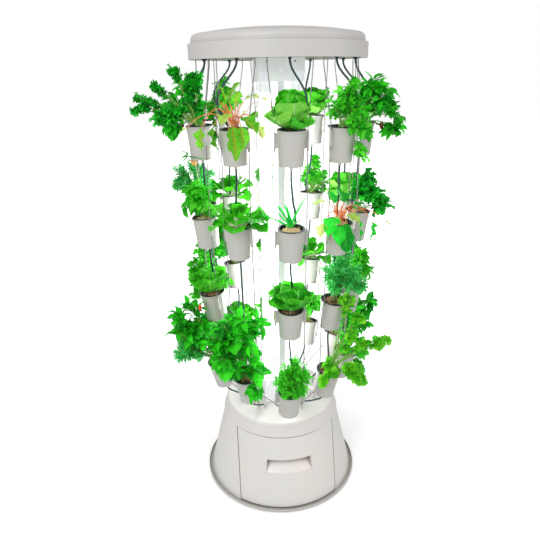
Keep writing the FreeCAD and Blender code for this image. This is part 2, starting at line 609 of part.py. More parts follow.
# Pump: housing, impeller and motor behind the drawer, with the socket that meets the valve
pump_y = read("pump_place")
pump_top = tray_top + read("pump_height")
pump_axis = Vector(0, pump_y, 0)
pump_wall = read("pump_wall")
chamber_low = tray_top + pump_wall
chamber_high = pump_top - pump_wall
port_start = pump_y - read("pump_radius") - 8
housing = join([
    Part.makeCylinder(read("pump_radius"), read("pump_height"), Vector(0, pump_y, tray_top)),
    rod(read("socket_radius") - 2, Vector(0, port_start, read("valve_height")),
        Vector(0, pump_y, read("valve_height"))),
    block(0, read("outlet_place"), pump_y - 10, pump_y + 10, tray_top + 10, tray_top + 34),
    rod(10, Vector(read("outlet_place"), pump_y, tray_top + 10),
        Vector(read("outlet_place"), pump_y, pump_top + 4))])
housing = housing.cut([
    Part.makeCylinder(read("pump_radius") - pump_wall, chamber_high - chamber_low,
                      Vector(0, pump_y, chamber_low)),
    rod(read("valve_radius") - 4, Vector(0, port_start - 1, read("valve_height")),
        Vector(0, pump_y, read("valve_height"))),
    rod(5, Vector(0, pump_y, tray_top + 22), Vector(read("outlet_place"), pump_y, tray_top + 22)),
    rod(5, Vector(read("outlet_place"), pump_y, tray_top + 17),
        Vector(read("outlet_place"), pump_y, pump_top + 5)),
    Part.makeCylinder(read("shaft_radius") + read("shaft_gap"), 40, Vector(0, pump_y, chamber_high - 5))])
feature("pump_housing", housing)
blades = [Part.makeCylinder(read("impeller_radius") * 0.35, read("impeller_height"),
                            Vector(0, pump_y, chamber_low + 2)),
          Part.makeCylinder(read("impeller_radius"), 2.5, Vector(0, pump_y, chamber_low + 2)),
          Part.makeCylinder(read("shaft_radius"), pump_top - chamber_low + 18,
                            Vector(0, pump_y, chamber_low + 2))]
for place in range(int(read("vane_count"))):
    vane = block(2, read("impeller_radius"), -1.25, 1.25, chamber_low + 2,
                 chamber_low + 2 + read("impeller_height"))
    vane.rotate(Vector(), Vector(0, 0, 1), place * 360.0 / read("vane_count"))
    vane.translate(pump_axis)
    blades.append(vane)
feature("pump_impeller", join(blades))
motor = Part.makeCylinder(read("motor_radius"), read("motor_height"), Vector(0, pump_y, pump_top))
motor = motor.makeChamfer(3, [edge for edge in motor.Edges if isinstance(edge.Curve, Part.Circle)
                              and edge.Curve.Center.z > pump_top + 1])
motor_bore = Part.makeCylinder(read("shaft_radius") + read("shaft_gap"), 24,
                               Vector(0, pump_y, pump_top - 1))
feature("pump_motor", motor.cut(motor_bore))
socket_start = port_start - read("socket_reach")
socket = rod(read("socket_radius"), valve_axis + Vector(0, socket_start, 0),
             valve_axis + Vector(0, port_start, 0))
socket = socket.cut(rod(read("valve_radius") + gap, valve_axis + Vector(0, socket_start - 1, 0),
                        valve_axis + Vector(0, valve_end + 1, 0)))
socket = socket.cut(rod(read("valve_radius") - 4, valve_axis + Vector(0, socket_start, 0),
                        valve_axis + Vector(0, port_start + 1, 0)))
feature("valve_socket", socket)
supply = rounded_block(block(-read("supply_near") - read("supply_width"), -read("supply_near"),
                             read("supply_place"), read("supply_place") + read("supply_depth"),
                             tray_top, tray_top + read("supply_height")), 6)
feature("power_supply", supply)

# Riser hose from the pump over the tank and up inside the mast
hose_top = read(PLATE_TOP)
turn_height = read("hose_turn_height")
hose_route = [
    Vector(read("outlet_place"), pump_y, pump_top + 4), Vector(read("outlet_place"), pump_y, turn_height),
    Vector(0, 0, turn_height), Vector(0, 0, hose_top)]
RADII.clear()
feature("riser_hose", tube(hose_route, read("hose_radius"), read("hose_bore"), read("hose_turn_radius")))
print(f"riser hose: smallest bend radius {min(RADII):.1f} mm")

# Funnel under the deck that leads the returned water into the tank
under = deck - read("deck_plate")
funnel_out = read("funnel_radius")
funnel_wall = read("funnel_wall")
funnel_low = under - read("funnel_drop")
funnel_side = funnel_low + read("funnel_rise")
funnel = turned([
    (read("funnel_collar"), under - 6), (read("funnel_collar"), funnel_low),
    (read("funnel_floor"), funnel_low), (funnel_out, funnel_side), (funnel_out, under),
    (funnel_out - funnel_wall, under), (funnel_out - funnel_wall, funnel_side + funnel_wall),
    (read("funnel_floor"), funnel_low + funnel_wall),
    (read("funnel_collar") + funnel_wall, funnel_low + funnel_wall),
    (read("funnel_collar") + funnel_wall, under - 6)])
spout_axis = Vector(0, -read("inlet_place"), 0)
spout_low = funnel_low - read("spout_reach")
spout_foot = spout_axis + Vector(0, 0, spout_low)
spout_root = spout_axis + Vector(0, 0, funnel_low + 1)
spout_bore_end = spout_axis + Vector(0, 0, funnel_low + 2 * funnel_wall + 1)
spout = rod(read("spout_radius"), spout_foot, spout_root)
spout_bore = rod(read("spout_radius") - read("spout_wall"), spout_foot - Vector(0, 0, 1), spout_bore_end)
feature("return_funnel", join([funnel, spout]).cut(spout_bore))

# Mast, lamps, their sockets and rails on the deck
plate_low = read("plate_height")
turned_body("mast_tube", [
    ("mast_radius - mast_wall", "deck_height"), ("mast_flange", "deck_height"),
    ("mast_flange", "deck_height + mast_flange_height"),
    ("mast_radius", "deck_height + mast_flange_height"), ("mast_radius", "plate_height"),
    ("mast_radius - mast_wall", "plate_height")])
head_base = read(HEAD_BASE)
offset = read("lamp_offset")
half_socket = read("lamp_socket") / 2
low_top = deck + read("socket_low_height")
high_base = head_base - read("socket_high_height")
low_sockets, high_sockets, lamps, boards = [], [], [], []
for x_side in (-1, 1):
    for y_side in (-1, 1):
        x = x_side * offset
        y = y_side * offset
        low = rounded_block(block(x - half_socket, x + half_socket, y - half_socket, y + half_socket,
                                  deck, low_top), 4)
        high = rounded_block(block(x - half_socket, x + half_socket, y - half_socket, y + half_socket,
                                   high_base, head_base), 4)
        low_sockets.append(low)
        high_sockets.append(high)
        lamp = Part.makeCylinder(read("lamp_radius"), high_base - low_top, Vector(x, y, low_top))
        lamp_bore = Part.makeCylinder(read("lamp_radius") - read("lamp_wall"), high_base - low_top,
                                      Vector(x, y, low_top))
        lamps.append(lamp.cut(lamp_bore))
        board = block(-read("board_width") / 2, read("board_width") / 2, -read("board_thickness") / 2,
                      read("board_thickness") / 2, low_top, high_base)
        board.rotate(Vector(), Vector(0, 0, 1), -45 * x_side * y_side)
        board.translate(Vector(x, y, 0))
        boards.append(board)
feature("lamp_sockets_lower", Part.makeCompound(low_sockets))
feature("lamp_sockets_upper", Part.makeCompound(high_sockets))
feature("lamp_tubes", Part.makeCompound(lamps))
feature("led_boards", Part.makeCompound(boards))
rail = block(-read("rail_width") / 2, read("rail_width") / 2, -read("rail_place"),
             -read("rail_place") + read("rail_depth"), deck, head_base)
rail_slot = block(-read("rail_width") / 6, read("rail_width") / 6, -read("rail_place") + 4,
                  -read("rail_place") + read("rail_depth") + 1, deck - 1, head_base + 1)
feature("lamp_rails", Part.makeCompound(around(rail.cut(rail_slot), 4)))

# Lamp head: a vented box under the cap with screws and a push button
head_half = read("head_half_width")
head = rounded_block(block(-head_half, head_half, -head_half, head_half, head_base, plate_low), 5)
inner = head_half - read("head_wall")
head_hollow = block(-inner, inner, -inner, inner, head_base + read("head_wall"),
                    plate_low - read("head_wall"))
head_cuts = [head_hollow, Part.makeCylinder(read("mast_radius") + 0.5, 200, Vector(0, 0, head_base - 20))]
for side in (-1, 1):
    for place in range(int(read("vent_count"))):
        vent_x = side * (head_half - read("vent_inset") - read("vent_width") / 2 - 4)
        vent_z = head_base + read("vent_inset") + place * read("vent_pitch")
        head_cuts.append(block(vent_x - read("vent_width") / 2, vent_x + read("vent_width") / 2,
                               -head_half - 5, head_half + 5, vent_z, vent_z + read("vent_height")))
button_axis = Vector(0, 0, read("button_height"))
bore_radius = read("button_radius") + read("button_gap")
head_cuts.append(rod(bore_radius, button_axis + Vector(0, -head_half - 1, 0),
                     button_axis + Vector(0, -inner + 1, 0)))
screw_height = plate_low - read("head_screw_drop")
head_screws = []
for side in (-1, 1):
    for face_side in (-1, 1):
        spot = Vector(side * read("head_screw_place"), face_side * head_half, screw_height)
        out = Vector(0, face_side, 0)
        head_cuts.append(rod(1.5, spot - out * 8, spot + out * 2))
        head_screws.append(join([rod(1.5, spot - out * 8, spot),
                                 rod(read("screw_radius"), spot, spot + out * 1.6)]))
feature("lamp_head", head.cut(head_cuts))
feature("head_screws", Part.makeCompound(head_screws))
button_back = -inner + read("button_travel") + 1
button = join([
    rod(read("button_radius"), button_axis + Vector(0, -head_half - read("button_proud"), 0),
        button_axis + Vector(0, button_back, 0)),
    rod(read("button_radius") + 2, button_axis + Vector(0, -inner + gap, 0),
        button_axis + Vector(0, button_back, 0))])
button = button.makeFillet(1.5, [edge for edge in button.Edges if isinstance(edge.Curve, Part.Circle)
                                 and edge.Curve.Center.y < -head_half - 1])
feature("lamp_button", button)

# Cap: a plate on the mast, a band round it, a dome that lifts off and the water manifold
plate = turned_body("hanger_plate", [
    ("plate_bore", "plate_height"), ("plate_radius", "plate_height"), ("plate_radius", PLATE_TOP),
    ("plate_bore", PLATE_TOP)])
round_hole(plate, "bush_hole", "stub_place", "bush_radius - 2", PLATE_TOP, "plate_thickness", columns)
for name, side in (("left_wire_hole", -1), ("right_wire_hole", 1)):
    round_hole(plate, name, "wire_top_place", "wire_radius", PLATE_TOP, "plate_thickness", columns,
               "wire_top_angle", side)
turned_body("cap_band", [
    ("band_radius - band_ledge", "band_low"), ("band_radius", "band_low"),
    ("band_radius", "band_high"), ("band_radius - band_flange", "band_high"),
    ("band_radius - band_flange", "band_high - band_wall"),
    ("band_radius - band_wall", "band_high - band_wall"),
    ("band_radius - band_wall", PLATE_TOP + " + band_wall"),
    ("band_radius - band_ledge", PLATE_TOP + " + band_wall"),
    ("band_radius - band_ledge", PLATE_TOP), ("band_radius - band_wall", PLATE_TOP),
    ("band_radius - band_wall", "plate_height"), ("band_radius - band_ledge", "plate_height")])


def dome_half(inset, base):
    """Half outline of the dome from its lower edge to the axis, moved inward by an inset."""
    side = read("dome_radius") - inset
    shoulder = read("dome_shoulder")
    width = read("dome_shoulder_width") - inset * 0.5
    rise_to = shoulder + read("dome_shoulder_rise") - inset
    crown = read("dome_crown") - inset
    ridge = read("dome_ridge")
    flat = read("dome_flat")
    middle = (side + ridge - width) / 2
    curves = [Part.LineSegment(Vector(side, 0, base), Vector(side, 0, shoulder)),
              Part.Arc(Vector(side, 0, shoulder),
                       Vector(side - width * 0.29, 0, shoulder + (rise_to - shoulder) * 0.72),
                       Vector(side - width, 0, rise_to)),
              Part.Arc(Vector(side - width, 0, rise_to),
                       Vector(middle, 0, rise_to + (crown - rise_to) * 0.76), Vector(ridge, 0, crown)),
              Part.Arc(Vector(ridge, 0, crown), Vector(ridge * 0.6, 0, crown - read("dome_dimple") * 0.7),
                       Vector(flat, 0, crown - read("dome_dimple"))),
              Part.LineSegment(Vector(flat, 0, crown - read("dome_dimple")),
                               Vector(0, 0, crown - read("dome_dimple")))]
    return [curve.toShape() for curve in curves]


dome_base = hose_top + gap
outer_curves = dome_half(0, dome_base)
inner_curves = dome_half(read("dome_wall"), dome_base)
top_link = Part.LineSegment(outer_curves[-1].Vertexes[-1].Point, inner_curves[-1].Vertexes[-1].Point)
low_link = Part.LineSegment(inner_curves[0].Vertexes[0].Point, outer_curves[0].Vertexes[0].Point)
dome_links = [top_link.toShape(), low_link.toShape()]
dome_wire = Part.Wire(Part.__sortEdges__(outer_curves + inner_curves + dome_links))
dome_shape = Part.Face(dome_wire).revolve(Vector(), Vector(0, 0, 1), 360)
feature("cap_dome", dome_shape)
spoke_height = hose_top + read("spoke_radius") + 4
hub = Part.makeCylinder(read("hub_radius"), read("hub_height"), Vector(0, 0, hose_top))
hub = hub.makeFillet(4, [edge for edge in hub.Edges if isinstance(edge.Curve, Part.Circle)
                         and edge.Curve.Center.z > hose_top + 1])
stub_y = -read("stub_place")
spoke = join([
    rod(read("spoke_radius"), Vector(0, -read("hub_radius") + 4, spoke_height),
        Vector(0, stub_y, spoke_height)),
    Part.makeSphere(read("spoke_radius"), Vector(0, stub_y, spoke_height)),
    rod(read("spoke_radius"), Vector(0, stub_y, spoke_height),
        Vector(0, stub_y, plate_low - read("stub_reach")))])
water_ways = [Part.makeCylinder(read("hub_radius") - 5, read("hub_height") - 8, Vector(0, 0, hose_top + 4)),
              Part.makeCylinder(read("hose_bore"), 10, Vector(0, 0, hose_top - 1))]
spoke_bore = [rod(read("tube_bore"), Vector(0, -read("hub_radius") + 8, spoke_height),
                  Vector(0, stub_y, spoke_height)),
              rod(read("tube_bore"), Vector(0, stub_y, spoke_height),
                  Vector(0, stub_y, plate_low - read("stub_reach") - 1))]
manifold = join([hub] + around(spoke, columns))
for bore in spoke_bore:
    water_ways.extend(around(bore, columns))
feature("feed_manifold", manifold.cut(water_ways))
bush = Part.makeCylinder(read("bush_radius"), read("bush_flange"),
                         Vector(0, stub_y, plate_low - read("bush_flange")))
bush = bush.fuse(Part.makeCylinder(read("bush_radius") - 2, read("bush_flange") + read("plate_thickness"),
                                   Vector(0, stub_y, plate_low - read("bush_flange"))))
bush_bore = Part.makeCylinder(read("spoke_radius"), 40, Vector(0, stub_y, plate_low - 20))
bush = bush.removeSplitter().cut(bush_bore)
feature("tube_bushes", Part.makeCompound(around(bush, columns)))

# Cups: one cup with its two ears, then forty of them on the wires
cup_top = read("cup_radius")
cup_low = read("cup_bottom_radius")
cup_height = read("cup_height")
cup_wall = read("cup_wall")
ear_x = read("ear_place")
ear_low = -read("ear_drop") - read("ear_length")


def cup_radius_at(depth):
    """Outer radius of the cup at a depth below its rim."""
    return cup_top - (cup_top - cup_low) * depth / cup_height


cup_body = turned([
    (0, -cup_height), (cup_low, -cup_height),
    (cup_radius_at(read("cup_lip_height")), -read("cup_lip_height")),
    (cup_top + read("cup_lip"), -read("cup_lip_height")), (cup_top + read("cup_lip"), 0), (0, 0)])
cup_inside = turned([
    (0, -cup_height + cup_wall), (cup_low - cup_wall, -cup_height + cup_wall),
    (cup_top - cup_wall, 0), (cup_top - cup_wall, 1), (0, 1)])
spigot = Part.makeCylinder(read("spigot_radius"), read("spigot_length") + 1,
                           Vector(0, 0, -cup_height - read("spigot_length")))
ear_parts = [cup_body, spigot]
ear_bores = [cup_inside, Part.makeCylinder(read("spigot_bore"), 60, Vector(0, 0, -cup_height - 30))]
for side in (-1, 1):
    ear_parts.append(Part.makeCylinder(read("ear_radius"), read("ear_length"),
                                       Vector(side * ear_x, 0, ear_low)))
    web_in = side * (cup_radius_at(60) - 1)
    web_out = side * (ear_x - 1)
    ear_parts.append(block(min(web_in, web_out), max(web_in, web_out), -read("ear_web") / 2,
                           read("ear_web") / 2, ear_low + 2, -read("ear_drop") - 2))
    ear_bores.append(Part.makeCylinder(read("wire_radius") + read("ear_gap"), read("ear_length") + 20,
                                       Vector(side * ear_x, 0, ear_low - 10)))
cup_shape = join(ear_parts).cut(ear_bores)

# Net cup with slots, hanging by its flange on the rim of the cup
net_top = cup_top - cup_wall - read("net_clearance")
net_low = read("net_bottom_radius")
net_depth = read("net_depth")
net_wall = read("net_wall")
net_shape = turned([
    (0, -net_depth), (net_low, -net_depth), (net_top, 0), (cup_top + 0.5, 0),
    (cup_top + 0.5, read("net_flange")), (net_top - net_wall, read("net_flange")),
    (net_low - net_wall, -net_depth + net_wall), (0, -net_depth + net_wall)])
slot = block(-read("slot_width") / 2, read("slot_width") / 2, -60, -10, -net_depth + 10, -12)
tube_hole = Part.makeCylinder(3, 10, Vector(0, 0, -net_depth - 5))
net_shape = net_shape.cut(around(slot, int(read("net_slots"))) + [tube_hole])

# Bed of clay pebbles: a filled cone with rounded pebbles on top
bed_gap = 0.5
bed_top = -read("bed_depth")


def net_inner(height):
    """Inner radius of the net cup at a height."""
    share = (height + net_depth) / (net_depth + read("net_flange"))
    return net_low + (net_top - net_low) * share - net_wall - bed_gap


bed_base = -net_depth + net_wall + bed_gap
pebble = read("pebble_radius")
bed_parts = [turned([(0, bed_base), (net_inner(bed_base) - 0.5, bed_base),
                     (net_inner(bed_top) - 0.5, bed_top), (0, bed_top)])]
for ring_radius, count in ((0, 1), (13, 6), (26, 11)):
    stone = Part.makeSphere(pebble, Vector(0, -ring_radius, bed_top + read("pebble_rise")))
    bed_parts.extend(around(stone, count, 7 * count))
bed_shape = join(bed_parts)

# Bead under each ear
bead_shape = Part.makeCylinder(read("bead_radius"), read("bead_height"),
                               Vector(ear_x, 0, ear_low - read("bead_height")))
bead_shape = bead_shape.makeFillet(1.2, [edge for edge in bead_shape.Edges
                                         if isinstance(edge.Curve, Part.Circle)])
bead_shape = bead_shape.cut(Part.makeCylinder(read("wire_radius") + 0.05, 30, Vector(ear_x, 0, ear_low - 20)))
bead_pair = [bead_shape, bead_shape.mirror(Vector(), Vector(1, 0, 0))]


def rim_height(column, row):
    """Height of the rim of one cup."""
    drop = FRONT_DROP if column == 0 and row == len(ROWS) - 1 else 0
    return ROWS[row][1] - drop


def column_turn(column):
    """Turn from the front to a column."""
    return Placement(Vector(), Rotation(Vector(0, 0, 1), column * 360.0 / columns))


def cup_place(column, row):
    """Placement of a tilted cup, its own origin at the middle of its rim."""
    spot = Vector(0, -ROWS[row][0], rim_height(column, row))
    return column_turn(column) * Placement(spot, Rotation(Vector(1, 0, 0), ROWS[row][2]))


def plant_place(column, row):
    """Placement of an upright plant in a cup."""
    spot = Vector(0, -ROWS[row][0], rim_height(column, row))
    return column_turn(column) * Placement(spot, Rotation())


def cup_rows(column):
    """The rows in which a column has a cup, from the top."""
    return [row for row, kind in enumerate(COLUMNS[column]) if kind]


def placed(shape, placement):
    """A copy of a shape, moved."""
    copy = shape.copy()
    copy.Placement = placement.multiply(shape.Placement)
    return copy


# Wires: from a nut on the plate through the ears of four cups to a socket on the deck
anchor_top = deck + read("anchor_height")
step = 360.0 / columns


def wire_route(column, side):
    """Points along one wire, from above the plate down to the deck."""
    turn = column_turn(column)
    angle = math.radians(side * read("wire_top_angle"))
    top_x = read("wire_top_place") * math.sin(angle)
    top_y = -read("wire_top_place") * math.cos(angle)
    bend = plate_low - read("wire_bend_drop")
    points = [turn.multVec(Vector(top_x, top_y, hose_top + read("nut_height") + 3)),
              turn.multVec(Vector(top_x, top_y, bend))]
    for row in cup_rows(column):
        place = cup_place(column, row)
        points.append(place.multVec(Vector(side * ear_x, 0, -read("ear_drop") + 9)))
        points.append(place.multVec(Vector(side * ear_x, 0, ear_low - read("bead_height") - 9)))
    foot_angle = math.radians(column * step + side * step / 2 + read("anchor_twist"))
    along = Vector(math.cos(foot_angle), math.sin(foot_angle), 0)
    reach = read("anchor_place")
    foot_spot = Vector(reach * math.sin(foot_angle), -reach * math.cos(foot_angle), 0)
    foot_spot = foot_spot - along * side * read("anchor_split")
    points.append(foot_spot + Vector(0, 0, anchor_top + 12))
    points.append(foot_spot + Vector(0, 0, deck + 3))
    return points


wire = read("wire_radius")
tube_out = read("tube_radius")
spare = read("plant_clearance")
WIRE_BEND = 25
TUBE_BEND = 400
routes = [wire_route(column, side) for column in range(columns) for side in (-1, 1)]
RADII.clear()
feature("hanger_wires", Part.makeCompound([swept(points, wire, WIRE_BEND) for points in routes]))
print(f"wires: smallest bend radius {min(RADII):.1f} mm")
nut = Part.makeCylinder(read("nut_radius"), read("nut_height"), Vector(0, -read("wire_top_place"), hose_top))
nut = nut.cut(Part.makeCylinder(wire, 30, Vector(0, -read("wire_top_place"), hose_top - 10)))
nuts = around(nut, columns, read("wire_top_angle")) + around(nut, columns, -read("wire_top_angle"))
feature("wire_nuts", Part.makeCompound(nuts))
anchor = Part.makeCone(read("anchor_radius"), read("anchor_radius") * 0.72, read("anchor_height"),
                       Vector(0, -read("anchor_place"), deck))
for side in (-1, 1):
    anchor = anchor.cut(Part.makeCylinder(wire, 30, Vector(side * read("anchor_split"),
                                                           -read("anchor_place"), deck + 3)))
feature("deck_anchors", Part.makeCompound(around(anchor, columns, step / 2 + read("anchor_twist"))))

# Elbows on the deck that take the lowest tubes
arm_slope = math.radians(read("elbow_slope"))
elbow_corner = Vector(0, -read("elbow_place"), deck + read("elbow_rise"))
arm_out = Vector(0, -math.cos(arm_slope), math.sin(arm_slope))
arm_end = elbow_corner + arm_out * read("elbow_arm")
elbow_radius = read("elbow_radius")
elbow = join([
    rod(elbow_radius, Vector(0, -read("elbow_place"), deck - read("deck_plate") - 6), elbow_corner),
    Part.makeSphere(elbow_radius, elbow_corner), rod(elbow_radius, elbow_corner, arm_end),
    rod(elbow_radius + 3, Vector(0, -read("elbow_place"), deck), Vector(0, -read("elbow_place"), deck + 2))])
elbow = elbow.cut([rod(read("tube_bore"), Vector(0, -read("elbow_place"), deck - 20), elbow_corner),
                   rod(read("tube_bore"), elbow_corner, arm_end + arm_out)])
feature("drain_elbows", Part.makeCompound(around(elbow, columns)))

# Side on which each column's feed tube bows out, from the front anticlockwise
BOW = (1, 1, 1, -1, 1, -1, 1, -1, -1, -1)


def feed_route(column):
    """Points of a feed tube from its stub under the plate to the top cup."""
    turn = column_turn(column)
    bow = BOW[column]
    ring, rim, _ = ROWS[0]
    start = plate_low - read("stub_reach")
    points = [Vector(0, -read("stub_place"), start), Vector(0, -read("stub_place"), start - 22),
              Vector(bow * 26, -ring - 4, start - 60), Vector(bow * 46, -ring - 26, start - 106),
              Vector(bow * 38, -ring - 18, rim + 46), Vector(bow * 22, -ring + 4, rim + 8)]
    return [turn.multVec(point) for point in points]


def drain_route(column, row):
    """Points of a tube from the bottom of one cup into the next cup or the deck elbow."""
    turn = column_turn(column)
    place = cup_place(column, row)
    bottom = -cup_height - read("spigot_length")
    start = place.multVec(Vector(0, 0, bottom))
    leave = place.multVec(Vector(0, 0, bottom - 36))
    lower_rows = [lower for lower in cup_rows(column) if lower > row]
    if lower_rows:
        ring = ROWS[lower_rows[0]][0]
        rim = rim_height(column, lower_rows[0])
        lean = BOW[column] * 16
        below = cup_place(column, lower_rows[0])
        return [start, leave, turn.multVec(Vector(lean * 0.5, -ring + 10, (rim + leave.z) / 2)),
                below.multVec(Vector(lean, 26, 50)), below.multVec(Vector(lean, 20, 8))]
    drop = place.multVec(Vector(0, 0, bottom - 20))
    points = [start, drop, drop + turn.multVec(Vector(0, 13, -13))]
    if rim_height(column, row) < ROWS[row][1]:
        points.append(turn.multVec(Vector(0, -196, deck + 23)))
    return points + [turn.multVec(arm_end + arm_out * 28), turn.multVec(arm_end)]


bore = read("tube_bore")
feeds = [feed_route(column) for column in range(columns)]
drains = [drain_route(column, row) for column in range(columns) for row in cup_rows(column)]
for tubes_name, tube_routes in (("feed_tubes", feeds), ("drain_tubes", drains)):
    RADII.clear()
    tubes = [tube(points, tube_out, bore, TUBE_BEND) for points in tube_routes]
    feature(tubes_name, Part.makeCompound(tubes))
    print(f"{tubes_name}: smallest bend radius {min(RADII):.1f} mm")


def near_bars(points, radius, widest, low, high):
    """Square bars round the straight runs and arcs of a route between two heights."""
    bars = []
    for edge in rounded_wire(points, widest).Edges:
        pieces = 3 if isinstance(edge.Curve, Part.Circle) else 1
        spots = edge.discretize(pieces + 1)
        for first, second in zip(spots, spots[1:]):
            if min(first.z, second.z) < high and max(first.z, second.z) > low:
                length = (second - first).Length + 2 * radius
                bar = block(-radius, radius, -radius, radius, -radius, length - radius)
                bars.append(placed(bar, Placement(first, Rotation(Vector(0, 0, 1), second - first))))
    return bars


def leafy_masses(kind, ring):
    """The round masses of a plant, drawn in sideways so that they stay in their own sector."""
    masses = []
    heart = Vector(0, -10, 40)
    for side, out, up, radius in KINDS[kind]:
        size = radius * growth
        room = (ring + out * growth) * math.sin(math.radians(step / 2)) - size - 1
        reach = max(-room, min(room, side * growth))
        middle = Vector(reach, -out * growth, up * growth)
        pole = heart - middle if masses else Vector(1, 0, 0)
        masses.append(Part.makeSphere(size, middle, pole))
    return masses


def plant(column, row):
    """One plant in its cup, clear of the wires and tubes of its column and of the cup above."""
    ring = ROWS[row][0]
    rim = rim_height(column, row)
    kind = COLUMNS[column][row]
    if (kind, ring) not in crowns:
        stem = rod(stem_radius, Vector(0, 0, stem_low), Vector(0, 0, 40))
        crowns[kind, ring] = join(leafy_masses(kind, ring) + [stem])
    crown = placed(crowns[kind, ring], plant_place(column, row))
    low = rim - 60
    high = crown.BoundBox.ZMax
    blocks = []
    for side in (-1, 1):
        blocks += near_bars(wire_route(column, side), wire + spare, WIRE_BEND, low, high)
    upper_rows = [upper for upper in cup_rows(column) if upper < row]
    incoming = drain_route(column, upper_rows[-1]) if upper_rows else feed_route(column)
    blocks += near_bars(incoming, tube_out + spare, TUBE_BEND, low, high)
    if upper_rows:
        above = cup_place(column, upper_rows[-1])
        if high > above.multVec(Vector(0, 0, -cup_height - read("spigot_length"))).z - 3:
            blocks.append(placed(keep_out, above))
    return max(crown.cut(blocks).Solids, key=lambda solid: solid.Volume)


# Plants: leafy masses of each kind, kept inside the column's own sector and clear of wires and tubes
crowns = {}
growth = read("plant_growth")
stem_radius = read("stem_radius")
stem_low = bed_top + read("pebble_rise") + pebble + read("slide_gap")
keep_out = turned([(0, -cup_height - 20), (cup_top, -cup_height - 20), (cup_top + 13, -60),
                   (cup_top + 13, 10), (0, 10)])
for row, row_name in enumerate(ROW_NAMES):
    cups, nets, beds, plants = [], [], [], []
    for column in range(columns):
        if row not in cup_rows(column):
            continue
        place = cup_place(column, row)
        cups.append(placed(cup_shape, place))
        nets.append(placed(net_shape, place))
        beds.append(placed(bed_shape, place))
        plants.append(plant(column, row))
    feature("cups_" + row_name, Part.makeCompound(cups))
    feature("net_cups_" + row_name, Part.makeCompound(nets))
    feature("pebbles_" + row_name, Part.makeCompound(beds))
    feature("plants_" + row_name, Part.makeCompound(plants))
beads = [placed(bead, cup_place(column, row)) for column in range(columns)
         for row in cup_rows(column) for bead in bead_pair]
feature("wire_beads", Part.makeCompound(beads))

DOC.recompute()

# Check every object, then write each sub-part to its own file
os.makedirs("parts", exist_ok=True)
for item in DOC.Objects:
    if "Invalid" in item.State or "Error" in item.State:
        raise ValueError(f"{item.Name} failed to build")
parts = [item for item in DOC.Objects if item.TypeId in ("PartDesign::Body", "Part::Feature")]
for item in parts:
    if item.Shape.isNull() or not item.Shape.isValid():
        raise ValueError(f"{item.Name} has no valid shape")
    item.Label = item.Name
    item.Shape.exportStep(f"parts/{item.Label}.step")
print(f"{len(parts)} sub-parts")
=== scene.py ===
import math
from collections import namedtuple

import bmesh
import bpy
import numpy as np
from mathutils import Matrix, Vector


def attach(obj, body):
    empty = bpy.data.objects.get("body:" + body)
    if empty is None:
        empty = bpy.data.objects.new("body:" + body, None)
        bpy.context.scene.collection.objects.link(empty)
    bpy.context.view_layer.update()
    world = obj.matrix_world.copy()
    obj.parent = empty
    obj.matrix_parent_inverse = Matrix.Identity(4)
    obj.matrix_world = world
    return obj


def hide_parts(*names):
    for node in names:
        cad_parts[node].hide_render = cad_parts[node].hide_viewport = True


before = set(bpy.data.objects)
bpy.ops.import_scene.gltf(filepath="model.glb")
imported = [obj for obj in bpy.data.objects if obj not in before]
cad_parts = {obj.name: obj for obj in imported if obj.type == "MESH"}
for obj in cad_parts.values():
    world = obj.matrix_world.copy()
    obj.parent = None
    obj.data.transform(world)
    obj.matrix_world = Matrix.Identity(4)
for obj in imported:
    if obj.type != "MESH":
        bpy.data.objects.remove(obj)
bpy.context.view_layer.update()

bl_info = {
    "name": "Planter Tower",
    "version": (1, 0, 0),
    "blender": (4, 5, 0),
    "location": "3D View > Sidebar > Tower",
    "description": "Finishes, plants, light and camera for a planter tower with a lit column",
    "category": "Add Mesh",
}

MILLIMETRE = 0.001
COLUMNS = 10
FULL_TURN = 2 * math.pi
COLUMN_TURN = FULL_TURN / COLUMNS

# Rows of cups from the top down: distance from the tower's middle, height of the rims, and lean in degrees.
# The lowest cup in front hangs below its row.
ROW_NAMES = ("top", "upper", "lower", "bottom")
RINGS = (0.280, 0.280, 0.270, 0.257)
RIMS = (1.422, 1.122, 0.842, 0.556)
TILTS = (2.0, 4.9, 8.5, 12.4)
FRONT_DROP = 0.044

# A cup, how much its radius shrinks for each metre down, how far its two wires are from its middle, and the
# bed of pebbles in it
CUP_RADIUS = 0.043
CUP_HEIGHT = 0.105
CUP_TAPER = 0.05
EAR_PLACE = 0.0495
BED_DEPTH = 0.006
BED_REACH = 0.034

# How far plants keep off the wall, the rim and the foot of their own cup, a wire, the wall and the foot of
# the cup above, and the tower's middle, where the lamps are
WALL_GAP = 0.0045
RIM_GAP = 0.001
FOOT_GAP = 0.02
WIRE_GAP = 0.0035
UPPER_WALL_GAP = 0.006
UPPER_FOOT_GAP = 0.004
LAMP_CLEARANCE = 0.125

# The kind of plant in each cup, column by column from the front anticlockwise, top row first. No cup
# hangs where there is none.
PLANTING = [
    ("lettuce", "aloe", "lettuce", "thyme"),
    ("parsley", "chard", "rosemary", "trailing"),
    ("pepper", "vine", "basil", "parsley"),
    ("basil", "lettuce", "vine", "chili"),
    ("lettuce", "parsley", "choy", "basil"),
    ("chard", "basil", "lettuce", "parsley"),
    ("parsley", "choy", "chili", "lettuce"),
    ("pepper", "rosemary", "parsley", "vine"),
    ("kale", "basil", "lettuce", "hedge"),
    ("chard", "choy", "", "bush"),
]

